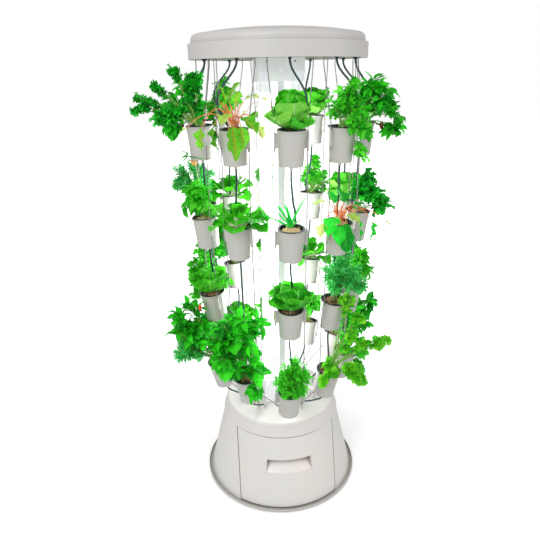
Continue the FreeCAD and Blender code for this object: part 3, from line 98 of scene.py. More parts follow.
# Outline of each leaf: half width, as a share of the widest, at places along its length
OUTLINES = {
    "ovate": ((0, 0.05), (0.1, 0.5), (0.32, 1), (0.6, 0.84), (0.84, 0.4), (1, 0.02)),
    "head": ((0, 0.3), (0.2, 0.55), (0.5, 0.92), (0.75, 1), (0.92, 0.7), (1, 0.35)),
    "spoon": ((0, 0.12), (0.25, 0.2), (0.42, 0.75), (0.65, 1), (0.88, 0.75), (1, 0.25)),
    "spike": ((0, 0.85), (0.2, 1), (0.6, 0.72), (0.9, 0.28), (1, 0.03)),
    "lobed": ((0, 0.06), (0.16, 0.75), (0.28, 0.4), (0.46, 1), (0.6, 0.5), (0.76, 0.72), (0.86, 0.35),
              (1, 0.05)),
    "curly": ((0, 0.1), (0.15, 0.8), (0.3, 0.55), (0.5, 1), (0.66, 0.66), (0.82, 0.8), (1, 0.2)),
    "round": ((0, 0.1), (0.18, 0.7), (0.45, 1), (0.75, 0.85), (0.92, 0.5), (1, 0.1)),
    "needle": ((0, 0.6), (0.4, 1), (0.8, 0.8), (1, 0.1)),
}

# Masses of foliage of each kind, as (sideways, outward, upward, radius) in millimetres from the rim, and the
# size of the plants beside them
MASSES = {
    "kale": [(3, 10, 113, 30), (-4, 36, 84, 24), (5, 94, 26, 40), (16, 60, 34, 20), (-2, 112, 98, 17),
             (0, 156, 72, 18), (4, 168, 50, 14), (-4, 62, 152, 13), (0, 8, 44, 26)],
    "parsley": [(0, 8, 46, 34), (30, 8, 56, 30), (-32, 6, 54, 30), (6, 16, 78, 30), (14, 48, 38, 30),
                (10, 62, 0, 24), (-20, 54, 14, 22), (26, 56, -22, 18), (18, 56, -66, 15), (0, 20, 108, 18)],
    "pepper": [(0, 8, 46, 36), (4, 34, 78, 34), (0, 64, 52, 34), (-6, 30, 98, 30), (4, 82, 14, 28),
               (6, 90, -24, 24)],
    "basil": [(0, 6, 46, 36), (-26, 6, 62, 30), (22, 8, 72, 28), (0, 20, 84, 26), (8, 36, 46, 26)],
    "vine": [(0, 10, 47, 37), (12, 30, 85, 31), (-6, 36, 55, 29), (6, 56, 36, 23), (3, 71, 12, 19),
             (-4, 21, 107, 27)],
    "rosemary": [(0, 8, 50, 38), (30, 6, 82, 36), (-24, 8, 94, 34), (8, 22, 122, 32), (22, 44, 62, 32),
                 (12, 78, 66, 26), (20, 62, 104, 26)],
    "thyme": [(0, 0, 44, 43), (-22, 12, 52, 36), (30, 8, 56, 38), (6, -4, 84, 36), (50, 6, 46, 28),
              (-34, 6, 34, 24), (14, 28, 12, 25), (-14, 28, 14, 24), (34, 24, 16, 20)],
    "chili": [(0, 12, 50, 38), (-34, 34, 84, 40), (26, 24, 104, 38), (-14, 72, 60, 40),
              (-30, 96, 100, 36), (8, 62, 140, 32), (-6, 104, 24, 32)],
    "bush": [(0, 8, 26, 16), (-33, 38, 94, 36), (27, 24, 103, 34), (-9, 57, 143, 38), (-54, 72, 157, 31),
             (34, 52, 172, 32), (-21, 69, 208, 34), (18, 44, 232, 27), (-23, 97, 106, 32),
             (11, 89, 66, 24), (52, 36, 60, 24), (58, 40, -6, 15), (50, 20, 200, 20)],
    "hedge": [(0, 8, 46, 34), (-10, 40, 88, 36), (0, 80, 120, 38), (10, 56, 150, 34),
              (-14, 106, 150, 34), (0, 134, 136, 26), (6, 80, 200, 28), (0, 114, 80, 34),
              (4, 138, 60, 26), (0, 84, 44, 32)],
    "trailing": [(0, 8, 22, 16), (14, 88, 28, 33), (26, 104, 0, 20), (8, 62, 100, 13), (0, 84, 150, 17),
                 (0, 66, 262, 22), (14, 96, 214, 14), (24, 122, 128, 13), (56, 160, 146, 22),
                 (-66, 28, -10, 15), (-20, 30, 8, 12)],
}
GROWTH = 1.15

# How each kind grows: twigs in a mass of one centimetre radius (a larger one has more, with the square of
# its radius), leaves on a twig, where along it the lowest stands, leaf length and half width, angle to the
# twig in degrees, droop, fold, ruffle, outline, rows of the leaf's grid, finish and radius of a stem
Habit = namedtuple("Habit", ("twigs", "leaves", "lowest", "length", "width", "lean", "droop", "fold",
                             "ruffle", "outline", "rows", "finish", "stem"))
SPRAYS = {
    "kale": Habit(0.928, 15, 0.1, 0.015, 0.0080, 65, 0.9, 0.5, 0.8, "curly", 8, "herb_leaf", 0.0018),
    "parsley": Habit(0.432, 9, 0.2, 0.022, 0.0095, 58, 0.6, 0.4, 0.25, "lobed", 9, "fresh_leaf", 0.0012),
    "pepper": Habit(0.352, 7, 0.1, 0.040, 0.0115, 58, 1.0, 0.35, 0.10, "ovate", 8, "glossy_leaf", 0.0016),
    "basil": Habit(0.416, 7, 0.1, 0.034, 0.0125, 60, 0.9, 0.50, 0.08, "ovate", 8, "fresh_leaf", 0.0014),
    "vine": Habit(0.416, 8, 0.1, 0.030, 0.0130, 65, 0.8, 0.45, 0.3, "curly", 8, "dark_leaf", 0.0013),
    "rosemary": Habit(0.928, 26, 0.05, 0.0200, 0.0028, 58, 0.2, 0.2, 0, "needle", 4, "needle_leaf", 0.0012),
    "thyme": Habit(2.048, 14, 0.15, 0.0100, 0.0036, 58, 0.4, 0.35, 0, "spoon", 5, "fresh_leaf", 0.0007),
    "chili": Habit(0.368, 6, 0.1, 0.046, 0.0125, 60, 0.8, 0.35, 0.12, "ovate", 8, "glossy_leaf", 0.0017),
    "trailing": Habit(0.768, 14, 0.1, 0.018, 0.0098, 62, 0.6, 0.45, 0.4, "round", 7, "lime_leaf", 0.0018),
}

# Kinds that grow like another, the mass from which on the hedge is rosemary instead, and kinds with woody
# stems
LIKE = {"bush": "chili", "hedge": "chili"}
HEDGE_ROSEMARY = 7
WOODY = ("rosemary", "thyme")

# Spread of the stems at their foot, stems into each mass, points along one and the first of them that a twig
# may leave, fewest twigs, and how thick a main stem and a twig are beside the habit's stem
SPRAY_FOOT = 0.012
MAIN_STEMS = 3
MAIN_STEPS = 12
FIRST_FORK = 7
FEWEST_TWIGS = 4
MAIN_THICKNESS = 1.35
TWIG_THICKNESS = 0.8

# Shares of a mass's radius: spread of its main stems' ends, how far out its twigs end, and how far they bow
# up. Then the pull of the twigs outward and upward, and the rise of a main stem's bow, to which a share of
# its level reach is added.
END_SPREAD = 0.3
TIP_REACH = (0.5, 0.96)
TWIG_RISE = 0.12
TWIG_PULL = (0, -0.15, 0.2)
STEM_RISE = 0.012
STEM_RISE_SHARE = 0.10

# Leaves along a twig: how much the last ones close up to it, ranges of their sizes, droops and twists,
# ruffles on a leaf, the tint of the first, how much lighter the last is, and how far tints scatter. The
# darker first leaves and lighter last ones are painted shade and light: shaded deep in a mass, lit at its
# tips
TIP_CLOSING = 0.55
LEAF_SIZES = (0.75, 1.2)
LEAF_DROOPS = (0.6, 1.3)
LEAF_TWISTS = (-0.9, 0.9)
LEAF_WAVES = 2.2
PAINTED_SHADE_TINT = 0.12
PAINTED_LIGHT_RISE = 0.55
TINT_SCATTER = 0.27

# Turn from one leaf to the next round a stem or crown, and the ranges that phases and tints are drawn from
GOLDEN_TURN = 2.399
PHASES = (0, 6.3)
TINTS = (0.1, 0.9)

# Fine ruffles along a leaf's edge: their angle for each coarse wave, and their height beside the coarse ones
FINE_ANGLE = 14.9
FINE_HEIGHT = 0.35

# Way that the upper sides of leaves face, and the least that a leaf droops, in radians
LEAF_SIDE = np.array([0, 0.03, 1.0])
LEAST_DROOP = 0.02

# Slanted directions from which a stem's sides and its leaves' places are turned, straight up, and what keeps
# only the level part of a direction
STEM_GUIDE = np.array([0.31, 0.17, 0.93])
LEAF_GUIDE = np.array([0.2, 0.3, 0.93])
UPWARD = np.array([0, 0, 1.0])
LEVEL = np.array([1, 1, 0])

# Where stems and fruit lie across a leaf's map, beside the midrib
BESIDE_RIB = 0.3

# Way of a feed tube from the plate to its cup in metres, as (sideways, outward, upward), and the side that
# it bows to in each column
FEED_ROUTE = [(0, 0.252, 1.614), (0, 0.252, 1.592), (0.026, 0.284, 1.554),
              (0.046, 0.306, 1.508), (0.038, 0.298, 1.468), (0.022, 0.276, 1.43)]
BOWS = (1, 1, 1, -1, 1, -1, 1, -1, -1, -1)
TUBE_RADIUS = 0.00325

# Painted shade: a darker tone laid into the housing's colour where its pieces meet and in its recesses
PAINTED_SHADE_TONE = (0.16, 0.135, 0.10)

# Radius of the housing's softened edges
SOFT_EDGE = 0.0009

# Strength of the lamps' tubes as the camera sees them, and of the painted light that the white plastic round
# them gives off
TUBE_SEEN = 0.5
PAINTED_CASE_LIGHT = 0.22

# Plastics of the housing: share of its colour, roughness, how warm the tones turn, how far the painted shade
# in corners and recesses reaches, and the nodes
HOUSING = {
    "Housing plastic": (1, 0.38, 0.03, 0.012, ("skirt_shell", "drawer_front", "drawer_plate")),
    "Deck plastic": (0.98, 0.36, -0.02, 0, ("deck_lid", "deck_anchors", "drain_elbows")),
    "Handle plastic": (1.14, 0.34, 0.03, 0.045, ("drawer_handle",)),
    "Cap plastic": (0.76, 0.36, 0.03, 0, ("cap_band", "cap_dome")),
    "Tray plastic": (0.80, 0.44, 0.03, 0.02, ("floor_tray",)),
    "Screw caps": (0.45, 0.5, 0.03, 0, ("skirt_screws", "head_screws")),
}

# Lighter green, darker green, ribs (None is the chard's own stem colour), side ribs on a leaf, roughness,
# how plain the ribs are, and depth of the crinkles in metres
LEAF_LOOKS = {
    "head_leaf": ((0.13, 0.95, 0.02), (0, 0.3, 0.006), (0.44, 0.95, 0.26), 7, 0.34, 0.6, 0.0014),
    # The pale leaf is the lettuce's pale heart, and painted light on outer leaves lit from behind
    "pale_heart_and_backlit_leaf": ((0.4, 0.96, 0.12), (0.015, 0.58, 0.012), (0.72, 0.96, 0.5), 7, 0.34, 0.65, 0.0012),
    "fresh_leaf": ((0.15, 0.98, 0.04), (0, 0.44, 0.012), (0.36, 0.95, 0.18), 6, 0.32, 0.55, 0.0006),
    "herb_leaf": ((0.04, 0.95, 0.04), (0, 0.27, 0.022), (0.15, 0.9, 0.12), 5, 0.36, 0.55, 0.0006),
    "dark_leaf": ((0.03, 0.88, 0.04), (0, 0.2, 0.018), (0.12, 0.86, 0.14), 6, 0.30, 0.55, 0.0006),
    "glossy_leaf": ((0.055, 0.95, 0.02), (0, 0.25, 0.012), (0.2, 0.92, 0.14), 6, 0.22, 0.55, 0.0006),
    "needle_leaf": ((0.2, 0.95, 0.26), (0.003, 0.42, 0.055), (0.34, 0.92, 0.38), 1, 0.40, 0.55, 0.0003),
    "lime_leaf": ((0.34, 0.97, 0.03), (0.01, 0.58, 0.01), (0.56, 0.96, 0.28), 5, 0.34, 0.55, 0.0006),
    "spike_leaf": ((0.05, 0.86, 0.1), (0, 0.36, 0.045), (0.12, 0.86, 0.18), 2, 0.28, 0.25, 0.0004),
    "chard_leaf": ((0.26, 0.92, 0.05), (0.003, 0.36, 0.01), None, 6, 0.28, 0.85, 0.0014),
    "pale_chard": ((0.80, 0.92, 0.36), (0.40, 0.80, 0.10), None, 6, 0.32, 0.75, 0.0012),
}

# Colour at a stem's foot and towards its tip
STALK_LOOKS = {
    "green_stalk": ((0.16, 0.46, 0.06), (0.36, 0.62, 0.14)),
    "woody_stalk": ((0.23, 0.15, 0.06), (0.20, 0.36, 0.08)),
    "red_stalk": (None, (0.95, 0.42, 0.12)),
    "pale_stalk": ((0.78, 0.84, 0.62), (0.55, 0.74, 0.30)),
}

FRUIT_LOOKS = {
    "red_fruit": (0.86, 0.06, 0.015),
    "dark_fruit": (0.20, 0.012, 0.020),
    "orange_fruit": (0.92, 0.40, 0.10),
}

# Rings of leaves round the crown of a lettuce in the two upper and the two lower rows, from the middle
# outward, as (count, rise in degrees, length, half width, finish), radius and height of the crown, and the
# turn from one ring to the next in radians
# Painted light: on the upper rows the two outer rings take the pale leaf for outer leaves lit from behind; on
# the lower rows the pale leaf is the heart
CLOSE_HEAD = [(5, 84, 0.096, 0.038, "head_leaf"), (6, 68, 0.108, 0.050, "head_leaf"),
              (7, 48, 0.104, 0.056, "head_leaf"), (7, 26, 0.090, 0.053, "pale_heart_and_backlit_leaf"),
              (7, 4, 0.078, 0.046, "pale_heart_and_backlit_leaf")]
OPEN_HEAD = [(4, 66, 0.070, 0.034, "pale_heart_and_backlit_leaf"), (6, 44, 0.088, 0.046, "head_leaf"),
             (7, 26, 0.098, 0.054, "head_leaf"), (7, 8, 0.094, 0.052, "head_leaf")]
CROWN_RADIUS = 0.004
CROWN_HEIGHT = 0.001
RING_SHIFT = 1.7

# Rings of the choy, as (count, rise in degrees, length, half width), and length and radius of its stalks
CHOY_RINGS = [(6, 70, 0.050, 0.030), (9, 38, 0.070, 0.040), (6, 6, 0.062, 0.038)]
CHOY_STALK = 0.036
CHOY_STALK_RADIUS = 0.0042

# Spikes of the aloe: how many, their rise in degrees, their length and half width, and how far they lean to
# one side
SPIKES = 12
SPIKE_RISES = (80, 30)
SPIKE_LENGTHS = (0.100, 0.145)
SPIKE_WIDTH = 0.0072
SPIKE_LEAN = 0.30

# Stems of the chard in millimetres: where each ends, sideways, outward and upward, how far it bows up, the
# way that its leaf points, and the leaf's length and half width
CHARD_STEMS = [
    (0, 20, 84, 6, 40, 0, 70, 69, 19.5),
    (35, -10, 84, 10, 90, 0, 30, 82.8, 16.9),
    (-5, 30, 74, 6, -10, 10, 80, 57.5, 16.9),
    (-46, 98, 12, 110, -6, 20, -80, 66.7, 24.7),
    (-78, 124, 12, 84, -50, 50, -30, 29.9, 11.7),
    (-36, 54, 12, 70, -6, 10, -80, 75.9, 24.7),
    (50, 30, 38, 36, 70, 20, -26, 75.9, 29.9),
    (84, 12, 18, 70, 50, 10, -60, 48.3, 20.8),
    (30, 56, 14, 56, 20, 10, -86, 98.9, 35.1),
    (-30, 30, 60, 20, -50, 30, 30, 50.6, 18.2),
    (16, 50, 46, 40, 10, 80, -10, 55.2, 22.1),
    (-8, -24, 70, 16, -10, -40, 50, 55.2, 19.5),
    (60, 56, 14, 60, 30, 20, -80, 64.4, 23.4),
]

# Height of the chard below the top row and its outward reach at the rear, beside the table, the spread of
# the stems at their foot, and their radii
LOWER_CHARD = 0.8
REAR_CHARD = 0.66
CHARD_FOOT = 0.010
CHARD_RADII = (0.0012, 0.0024)

# Bare stems of the chard: middle and spread of their ends, how far they bow up, and their radius
BARE_MIDDLE = (0, -0.010, 0.062)
BARE_SPREAD = (0.045, 0.030, 0.020)
BARE_RISE = 0.020
BARE_RADIUS = 0.0015

# Fruit that shows among the leaves: middle, radius, length and finish
FRUITS = {
    "pepper": ((0, -0.066, -0.012), 0.008, 0.024, "dark_fruit"),
    "hedge": ((0.034, -0.072, 0.248), 0.0065, 0.024, "red_fruit"),
}

# Shoot of the basil in one column, its radius, its bud, and the ways, length and half width of the leaves at
# its fourth point
SHOOT_COLUMN = 8
SHOOT = [(0, -0.01, 0), (0, -0.012, 0.10), (0, -0.020, 0.17), (0, -0.034, 0.205), (0, -0.044, 0.196)]
SHOOT_RADIUS = 0.0016
BUD = ((0, -0.026, 0.186), 0.012, 0.023, "orange_fruit")
SHOOT_LEAVES = [(0.3, -1, 0.3), (-0.3, -1, -0.2), (0, -0.5, 0.6), (0.4, 0.6, 0.2)]
SHOOT_LEAF_SIZE = (0.040, 0.012)

# Clay pebbles in a cup: how many, their radii and how much they are stretched, the height of their lumps as a
# share of the radius, how far out and how deep their middles lie, how much some lie higher or lower, and the
# number that the rows' stones are drawn from
STONES = 30
STONE_RADII = (0.0042, 0.0066)
STONE_STRETCH = (0.8, 1.15)
STONE_LUMPS = 0.10
STONE_REACH = BED_REACH * 0.86
STONE_DEPTH = BED_DEPTH + 0.002
STONE_LEVELS = (-0.0015, 0.002)
STONE_SEED = 40

# Share of dark stones in the bed of a row, and the colour of the rest beside baked clay
BED_TONES = {"top": (0.8, 0.45), "upper": (0.1, 1.9), "lower": (0.4, 0.8), "bottom": (0.3, 1.0)}

# Half the floor's side, and how bright its own light is to the camera near the tower and away from it, with
# the distances between which it changes
FLOOR_SPAN = 14.0
FLOOR_GLOW = (0.30, 1.0)
FLOOR_FADE = (0.4, 1.6)

# The point that the lights face, the place and the side of each, and the width of the camera's sensor in
# millimetres
LIT_POINT = (0, 0, 0.8)
KEY_PLACE, KEY_SIDE = (-1.7, -2.6, 2.9), 2.4
FILL_PLACE, FILL_SIDE = (2.6, -1.6, 1.6), 2.2
SENSOR_WIDTH = 36

# Places of the two colours that a Mix node takes, and of the one that it gives
MIX_ENTRIES = (6, 7)
MIX_RESULT = 2


class TowerFinishes(bpy.types.PropertyGroup):
    """Colours of the tower's own pieces."""
    housing: bpy.props.FloatVectorProperty(
        name="Housing", description="Moulded plastic of the base, the drawer and the cap", subtype="COLOR",
        size=3, min=0, max=1, default=(0.72, 0.685, 0.668))
    cups: bpy.props.FloatVectorProperty(
        name="Cups", description="Plastic of the hanging cups", subtype="COLOR",
        size=3, min=0, max=1, default=(0.50, 0.486, 0.464))
    tank: bpy.props.FloatVectorProperty(
        name="Tank", description="Plastic of the water tank and the funnel", subtype="COLOR",
        size=3, min=0, max=1, default=(0.62, 0.66, 0.69))
    dark: bpy.props.FloatVectorProperty(
        name="Net cups and pump", description="Black plastic of the net cups, the pump and the runners",
        subtype="COLOR", size=3, min=0, max=1, default=(0.018, 0.030, 0.030))
    lamp_case: bpy.props.FloatVectorProperty(
        name="Lamp head", description="White plastic of the lamp head and the sockets", subtype="COLOR",
        size=3, min=0, max=1, default=(0.92, 0.91, 0.97))
    steel: bpy.props.FloatVectorProperty(
        name="Wire", description="Drawn steel of the wires and the plate under the cap", subtype="COLOR",
        size=3, min=0, max=1, default=(0.24, 0.235, 0.23))
    hose: bpy.props.FloatVectorProperty(
        name="Water tube", description="Soft tubes that carry the water", subtype="COLOR",
        size=3, min=0, max=1, default=(0.006, 0.035, 0.036))
    clay: bpy.props.FloatVectorProperty(
        name="Clay pebbles", description="Expanded clay in the net cups", subtype="COLOR",
        size=3, min=0, max=1, default=(0.52, 0.29, 0.17))
    lamp_glow: bpy.props.FloatProperty(
        name="Lamp glow", description="Strength of the light of the tubes", min=0, max=20, default=10)
    grain: bpy.props.FloatProperty(
        name="Grain", description="Depth of the fine grain of the housing", unit="LENGTH",
        min=0, max=0.001, default=0.00006)


class TowerPlants(bpy.types.PropertyGroup):
    """How full the plants are, and their colours."""
    seed: bpy.props.IntProperty(
        name="Seed", description="Number that every plant's leaves are drawn from", min=0, default=7)
    fullness: bpy.props.FloatProperty(
        name="Fullness", description="Share of the usual number of stems", min=0.1, max=3, default=1.0)
    leaf_size: bpy.props.FloatProperty(
        name="Leaf size", description="Size of every leaf beside its usual size", min=0.5, max=2, default=1.0)
    glow: bpy.props.FloatProperty(
        name="Light through leaves", description="Share of the light that passes through a leaf",
        subtype="FACTOR", min=0, max=1, default=0.42)
    stem_red: bpy.props.FloatVectorProperty(
        name="Chard stems", description="Colour of the stems and ribs of the chard", subtype="COLOR",
        size=3, min=0, max=1, default=(0.90, 0.19, 0.06))


class TowerStage(bpy.types.PropertyGroup):
    """Light, floor and camera."""
    key: bpy.props.FloatProperty(
        name="Key light", description="Power of the large soft light in front", unit="POWER",
        min=0, default=66)
    fill: bpy.props.FloatProperty(
        name="Fill light", description="Power of the soft light from the right", unit="POWER",
        min=0, default=18)
    sky: bpy.props.FloatProperty(
        name="Room light", description="Strength of the even light of the room", min=0, default=0.62)
    distance: bpy.props.FloatProperty(
        name="Camera distance", description="Level distance from the lit column to the camera",
        unit="LENGTH", min=0.5, default=1.840)
    eye_height: bpy.props.FloatProperty(
        name="Camera height", description="Height of the camera above the floor", unit="LENGTH",
        min=0, default=1.5818)
    turn: bpy.props.FloatProperty(
        name="Camera turn", description="Where the camera stands round the tower, from the drawer's front",
        unit="ROTATION", default=math.radians(-7.77))
    pitch: bpy.props.FloatProperty(
        name="Camera pitch", description="How far the camera looks down", unit="ROTATION", default=0.36502)
    yaw: bpy.props.FloatProperty(
        name="Camera yaw", description="How far the camera looks past the column", unit="ROTATION",
        default=-0.01925)
    roll: bpy.props.FloatProperty(
        name="Camera roll", description="How far the camera leans", unit="ROTATION", default=-0.01403)
    lens: bpy.props.FloatProperty(
        name="Lens", description="Focal length on a 36 mm sensor, in millimetres", min=5, default=34.654)


class Finish:
    """Nodes of one material, round its own shader."""

    def __init__(self, name, colour, roughness, metallic=0.0):
        self.material = bpy.data.materials.new(name)
        self.material.use_nodes = True
        self.nodes = self.material.node_tree.nodes
        self.links = self.material.node_tree.links
        self.shader = self.nodes["Principled BSDF"]
        self.shader.inputs["Base Color"].default_value = (*colour, 1)
        self.shader.inputs["Roughness"].default_value = roughness
        self.shader.inputs["Metallic"].default_value = metallic

    def node(self, kind, **settings):
        """A new node, with its settings and the values of its unlinked entries."""
        made = self.nodes.new("ShaderNode" + kind)
        for name, value in settings.items():
            if hasattr(made, name):
                setattr(made, name, value)
            else:
                made.inputs[name.replace("_", " ")].default_value = value
        return made

    def join(self, source, entry):
        """Link an output to an input."""
        self.links.new(source, entry)
        return self

    def place(self):
        """Coordinates of the surface in metres."""
        return self.node("TexCoord").outputs["Object"]

    def noise(self, scale, detail=3.0, roughness=0.55, coordinates=None):
        """A noise pattern of so many spots to the metre."""
        made = self.node("TexNoise", Scale=scale, Detail=detail, Roughness=roughness)
        self.join(coordinates or self.place(), made.inputs["Vector"])
        return made.outputs["Fac"]

    def lines(self, scale, stretch):
        """Fine lines that run up the piece, so many to the metre."""
        made = self.node("Mapping")
        made.inputs["Scale"].default_value = (1, 1, stretch)
        self.join(self.place(), made.inputs["Vector"])
        return self.noise(scale, 2.0, 0.5, made.outputs["Vector"])

    def tint(self):
        """The tint that each point of the piece carries."""
        return self.node("Attribute", attribute_name="tint").outputs["Fac"]

    def spread(self, source, low, high, start=0.3, end=0.7):
        """Stretch a pattern over a range of numbers."""
        made = self.node("MapRange")
        self.join(source, made.inputs["Value"])
        for name, value in (("From Min", start), ("From Max", end), ("To Min", low), ("To Max", high)):
            made.inputs[name].default_value = value
        return made.outputs["Result"]

    def blend(self, share, first, second):
        """Mix two colours, each a colour or the output of a node, by a share."""
        made = self.node("Mix", data_type="RGBA")
        self.join(share, made.inputs["Factor"])
        for place, colour in zip(MIX_ENTRIES, (first, second)):
            if isinstance(colour, tuple):
                made.inputs[place].default_value = (*colour, 1)
            else:
                self.join(colour, made.inputs[place])
        return made.outputs[MIX_RESULT]

    def sum_up(self, kind, first, second):
        """One step of arithmetic on outputs or numbers."""
        made = self.node("Math", operation=kind)
        for place, value in enumerate((first, second)):
            if isinstance(value, (int, float)):
                made.inputs[place].default_value = value
            else:
                self.join(value, made.inputs[place])
        return made.outputs[0]

    def relief(self, pattern, depth, edge=0.0):
        """Bump from a pattern, so many metres deep, over softened edges."""
        bump = self.node("Bump", Strength=1.0, Distance=depth)
        self.join(pattern, bump.inputs["Height"])
        if edge:
            soft = self.node("Bevel", samples=4, Radius=edge)
            self.join(soft.outputs["Normal"], bump.inputs["Normal"])
        self.join(bump.outputs["Normal"], self.shader.inputs["Normal"])
        return self

    def paint(self, colour):
        """Drive the base colour."""
        return self.join(colour, self.shader.inputs["Base Color"])

    def shine(self, roughness):
        """Drive the roughness."""
        return self.join(roughness, self.shader.inputs["Roughness"])


def shade(colour, share):
    """A colour made darker or lighter by a share."""
    return tuple(min(1.0, part * share) for part in colour)


def moulded_plastic(name, colour, roughness, grain, warm=0.03, shade_reach=0):
    """Satin plastic with a fine grain, slow changes of tone, scuffs, softened edges and painted shade in
    corners.
    """
    finish = Finish(name, colour, roughness)
    tone = finish.spread(finish.noise(5.0, 2.0), 0, 1)
    warmer = (min(1.0, colour[0] * (1 + warm)), colour[1], colour[2] * (1 - warm))
    cooler = (colour[0] * (1 - warm), colour[1] * (1 + 0.3 * warm), min(1.0, colour[2] * (1 + 0.5 * warm)))
    body = finish.blend(tone, cooler, warmer)
    if shade_reach:
        # Painted shade: the colour turns darker where the surface is closed in by other surfaces
        shaded = finish.node("AmbientOcclusion", samples=8, Distance=shade_reach)
        body = finish.blend(finish.spread(shaded.outputs["AO"], 0, 1, 0.25, 0.8), PAINTED_SHADE_TONE, body)
    finish.paint(body)
    scuffs = finish.noise(38.0, 6.0, 0.7)
    finish.shine(finish.spread(scuffs, roughness - 0.07, roughness + 0.09))
    finish.shader.inputs["Specular IOR Level"].default_value = 0.42
    finish.shader.inputs["Subsurface Weight"].default_value = 0.04
    finish.shader.inputs["Subsurface Radius"].default_value = (0.004, 0.003, 0.0025)
    return finish.relief(finish.noise(950.0, 2.0), grain, SOFT_EDGE).material


def drawn_steel(name, colour, roughness):
    """Bright metal with fine lines along its length and slight stains."""
    finish = Finish(name, colour, roughness, metallic=1.0)
    lines = finish.lines(1400.0, 0.02)
    stains = finish.spread(finish.noise(24.0, 4.0), 0, 1)
    finish.paint(finish.blend(stains, shade(colour, 0.86), shade(colour, 1.1)))
    finish.shine(finish.spread(lines, roughness - 0.08, roughness + 0.12))
    return finish.relief(lines, 0.00002).material


def soft_tube(name, colour):
    """Flexible tube: dark and smooth, with a dull bloom."""
    finish = Finish(name, colour, 0.36)
    bloom = finish.spread(finish.noise(30.0, 5.0), 0, 1)
    finish.paint(finish.blend(bloom, shade(colour, 0.7), shade(colour, 1.7)))
    finish.shine(finish.spread(finish.noise(120.0, 3.0), 0.28, 0.46))
    return finish.relief(finish.noise(600.0, 2.0), 0.00003).material


def foot_rubber():
    """Dull dark rubber of the feet."""
    finish = Finish("Foot rubber", (0.03, 0.03, 0.03), 0.8)
    finish.paint(finish.blend(finish.noise(60.0), (0.02, 0.02, 0.02), (0.055, 0.053, 0.05)))
    return finish.relief(finish.noise(700.0), 0.0002).material


def lamp_case(colour, grain):
    """White plastic with painted light: it gives off a little light of its own in place of the lamps' light.
    """
    case = moulded_plastic("Lamp case", colour, 0.35, grain, 0.01)
    shader = case.node_tree.nodes["Principled BSDF"]
    # Painted light: the case glows in its own colour, though it is no lamp
    shader.inputs["Emission Color"].default_value = (*colour, 1)
    shader.inputs["Emission Strength"].default_value = PAINTED_CASE_LIGHT
    return case


def lamp_rail(colour):
    """Satin metal between the lamps, with fine lines along its length."""
    finish = Finish("Lamp rail", colour, 0.40, metallic=0.15)
    lines = finish.lines(700.0, 0.03)
    finish.paint(finish.blend(lines, shade(colour, 0.93), shade(colour, 1.05)))
    finish.shine(finish.spread(lines, 0.3, 0.45))
    return finish.relief(lines, 0.00002).material


def lit_glass(glow):
    """Frosted tube that lights the tower more strongly than the camera sees it."""
    finish = Finish("Lit tube", (0.9, 0.9, 0.92), 0.4)
    cloud = finish.blend(finish.noise(40.0, 3.0), (0.96, 0.97, 1.0), (1.0, 1.0, 0.985))
    finish.paint(cloud)
    finish.join(cloud, finish.shader.inputs["Emission Color"])
    seen = finish.node("LightPath").outputs["Is Camera Ray"]
    finish.join(finish.spread(seen, glow, TUBE_SEEN, 0, 1), finish.shader.inputs["Emission Strength"])
    return finish.relief(finish.noise(300.0), 0.00005).material


def lamp_board():
    """Pale board of the lamps."""
    finish = Finish("Lamp board", (0.8, 0.8, 0.78), 0.5)
    finish.paint(finish.blend(finish.noise(200.0), (0.7, 0.72, 0.7), (0.86, 0.86, 0.82)))
    return finish.relief(finish.noise(400.0), 0.0001).material


def baked_clay(name, colour, darks):
    """Porous pebbles, each with a tone of its own, and a share of them dark."""
    finish = Finish(name, colour, 0.9)
    light = finish.spread(finish.tint(), 0, 1, darks - 0.1, darks + 0.1)
    tone = finish.blend(light, shade(colour, 0.2), shade(colour, 1.3))
    pores = finish.noise(520.0, 5.0, 0.7)
    finish.paint(finish.blend(finish.spread(pores, 0, 0.55), tone, shade(colour, 0.35)))
    return finish.relief(pores, 0.0008).material


def leaf_finish(name, light, dark, rib, ribs, gloss, glow, rib_share, crinkle):
    """A leaf: two greens mixed by the leaf's tint, a midrib with side ribs, and light that passes through."""
    finish = Finish(name, light, gloss)
    spot = finish.node("UVMap", uv_map="leaf")
    split = finish.node("SeparateXYZ")
    finish.join(spot.outputs["UV"], split.inputs["Vector"])
    across = finish.sum_up("ABSOLUTE", finish.sum_up("SUBTRACT", split.outputs["X"], 0.5), 0)
    along = split.outputs["Y"]
    midrib = finish.spread(across, 1, 0, start=0.012, end=0.05)
    slanted = finish.sum_up("SUBTRACT", finish.sum_up("MULTIPLY", along, ribs),
                            finish.sum_up("MULTIPLY", across, ribs * 0.55))
    wave = finish.sum_up("PINGPONG", slanted, 0.5)
    side = finish.sum_up("MULTIPLY", finish.spread(wave, 1, 0, start=0.02, end=0.12), 0.5)
    veins = finish.sum_up("MAXIMUM", midrib, side)
    tint = finish.tint()
    mottle = finish.spread(finish.noise(160.0, 4.0, 0.6), -0.22, 0.22)
    share = finish.sum_up("ADD", tint, mottle)
    body = finish.blend(share, dark, light)
    colour = finish.blend(finish.sum_up("MULTIPLY", veins, rib_share), body, rib)
    finish.paint(colour)
    finish.shader.inputs["Specular IOR Level"].default_value = 0.22
    height = finish.sum_up("ADD", finish.sum_up("MULTIPLY", veins, -0.6), finish.noise(420.0, 3.0))
    finish.relief(height, crinkle)
    through = finish.node("BsdfTranslucent")
    finish.join(colour, through.inputs["Color"])
    both = finish.node("MixShader", Fac=glow)
    finish.join(finish.shader.outputs["BSDF"], both.inputs[1])
    finish.join(through.outputs["BSDF"], both.inputs[2])
    finish.join(both.outputs["Shader"], finish.nodes["Material Output"].inputs["Surface"])
    return finish.material


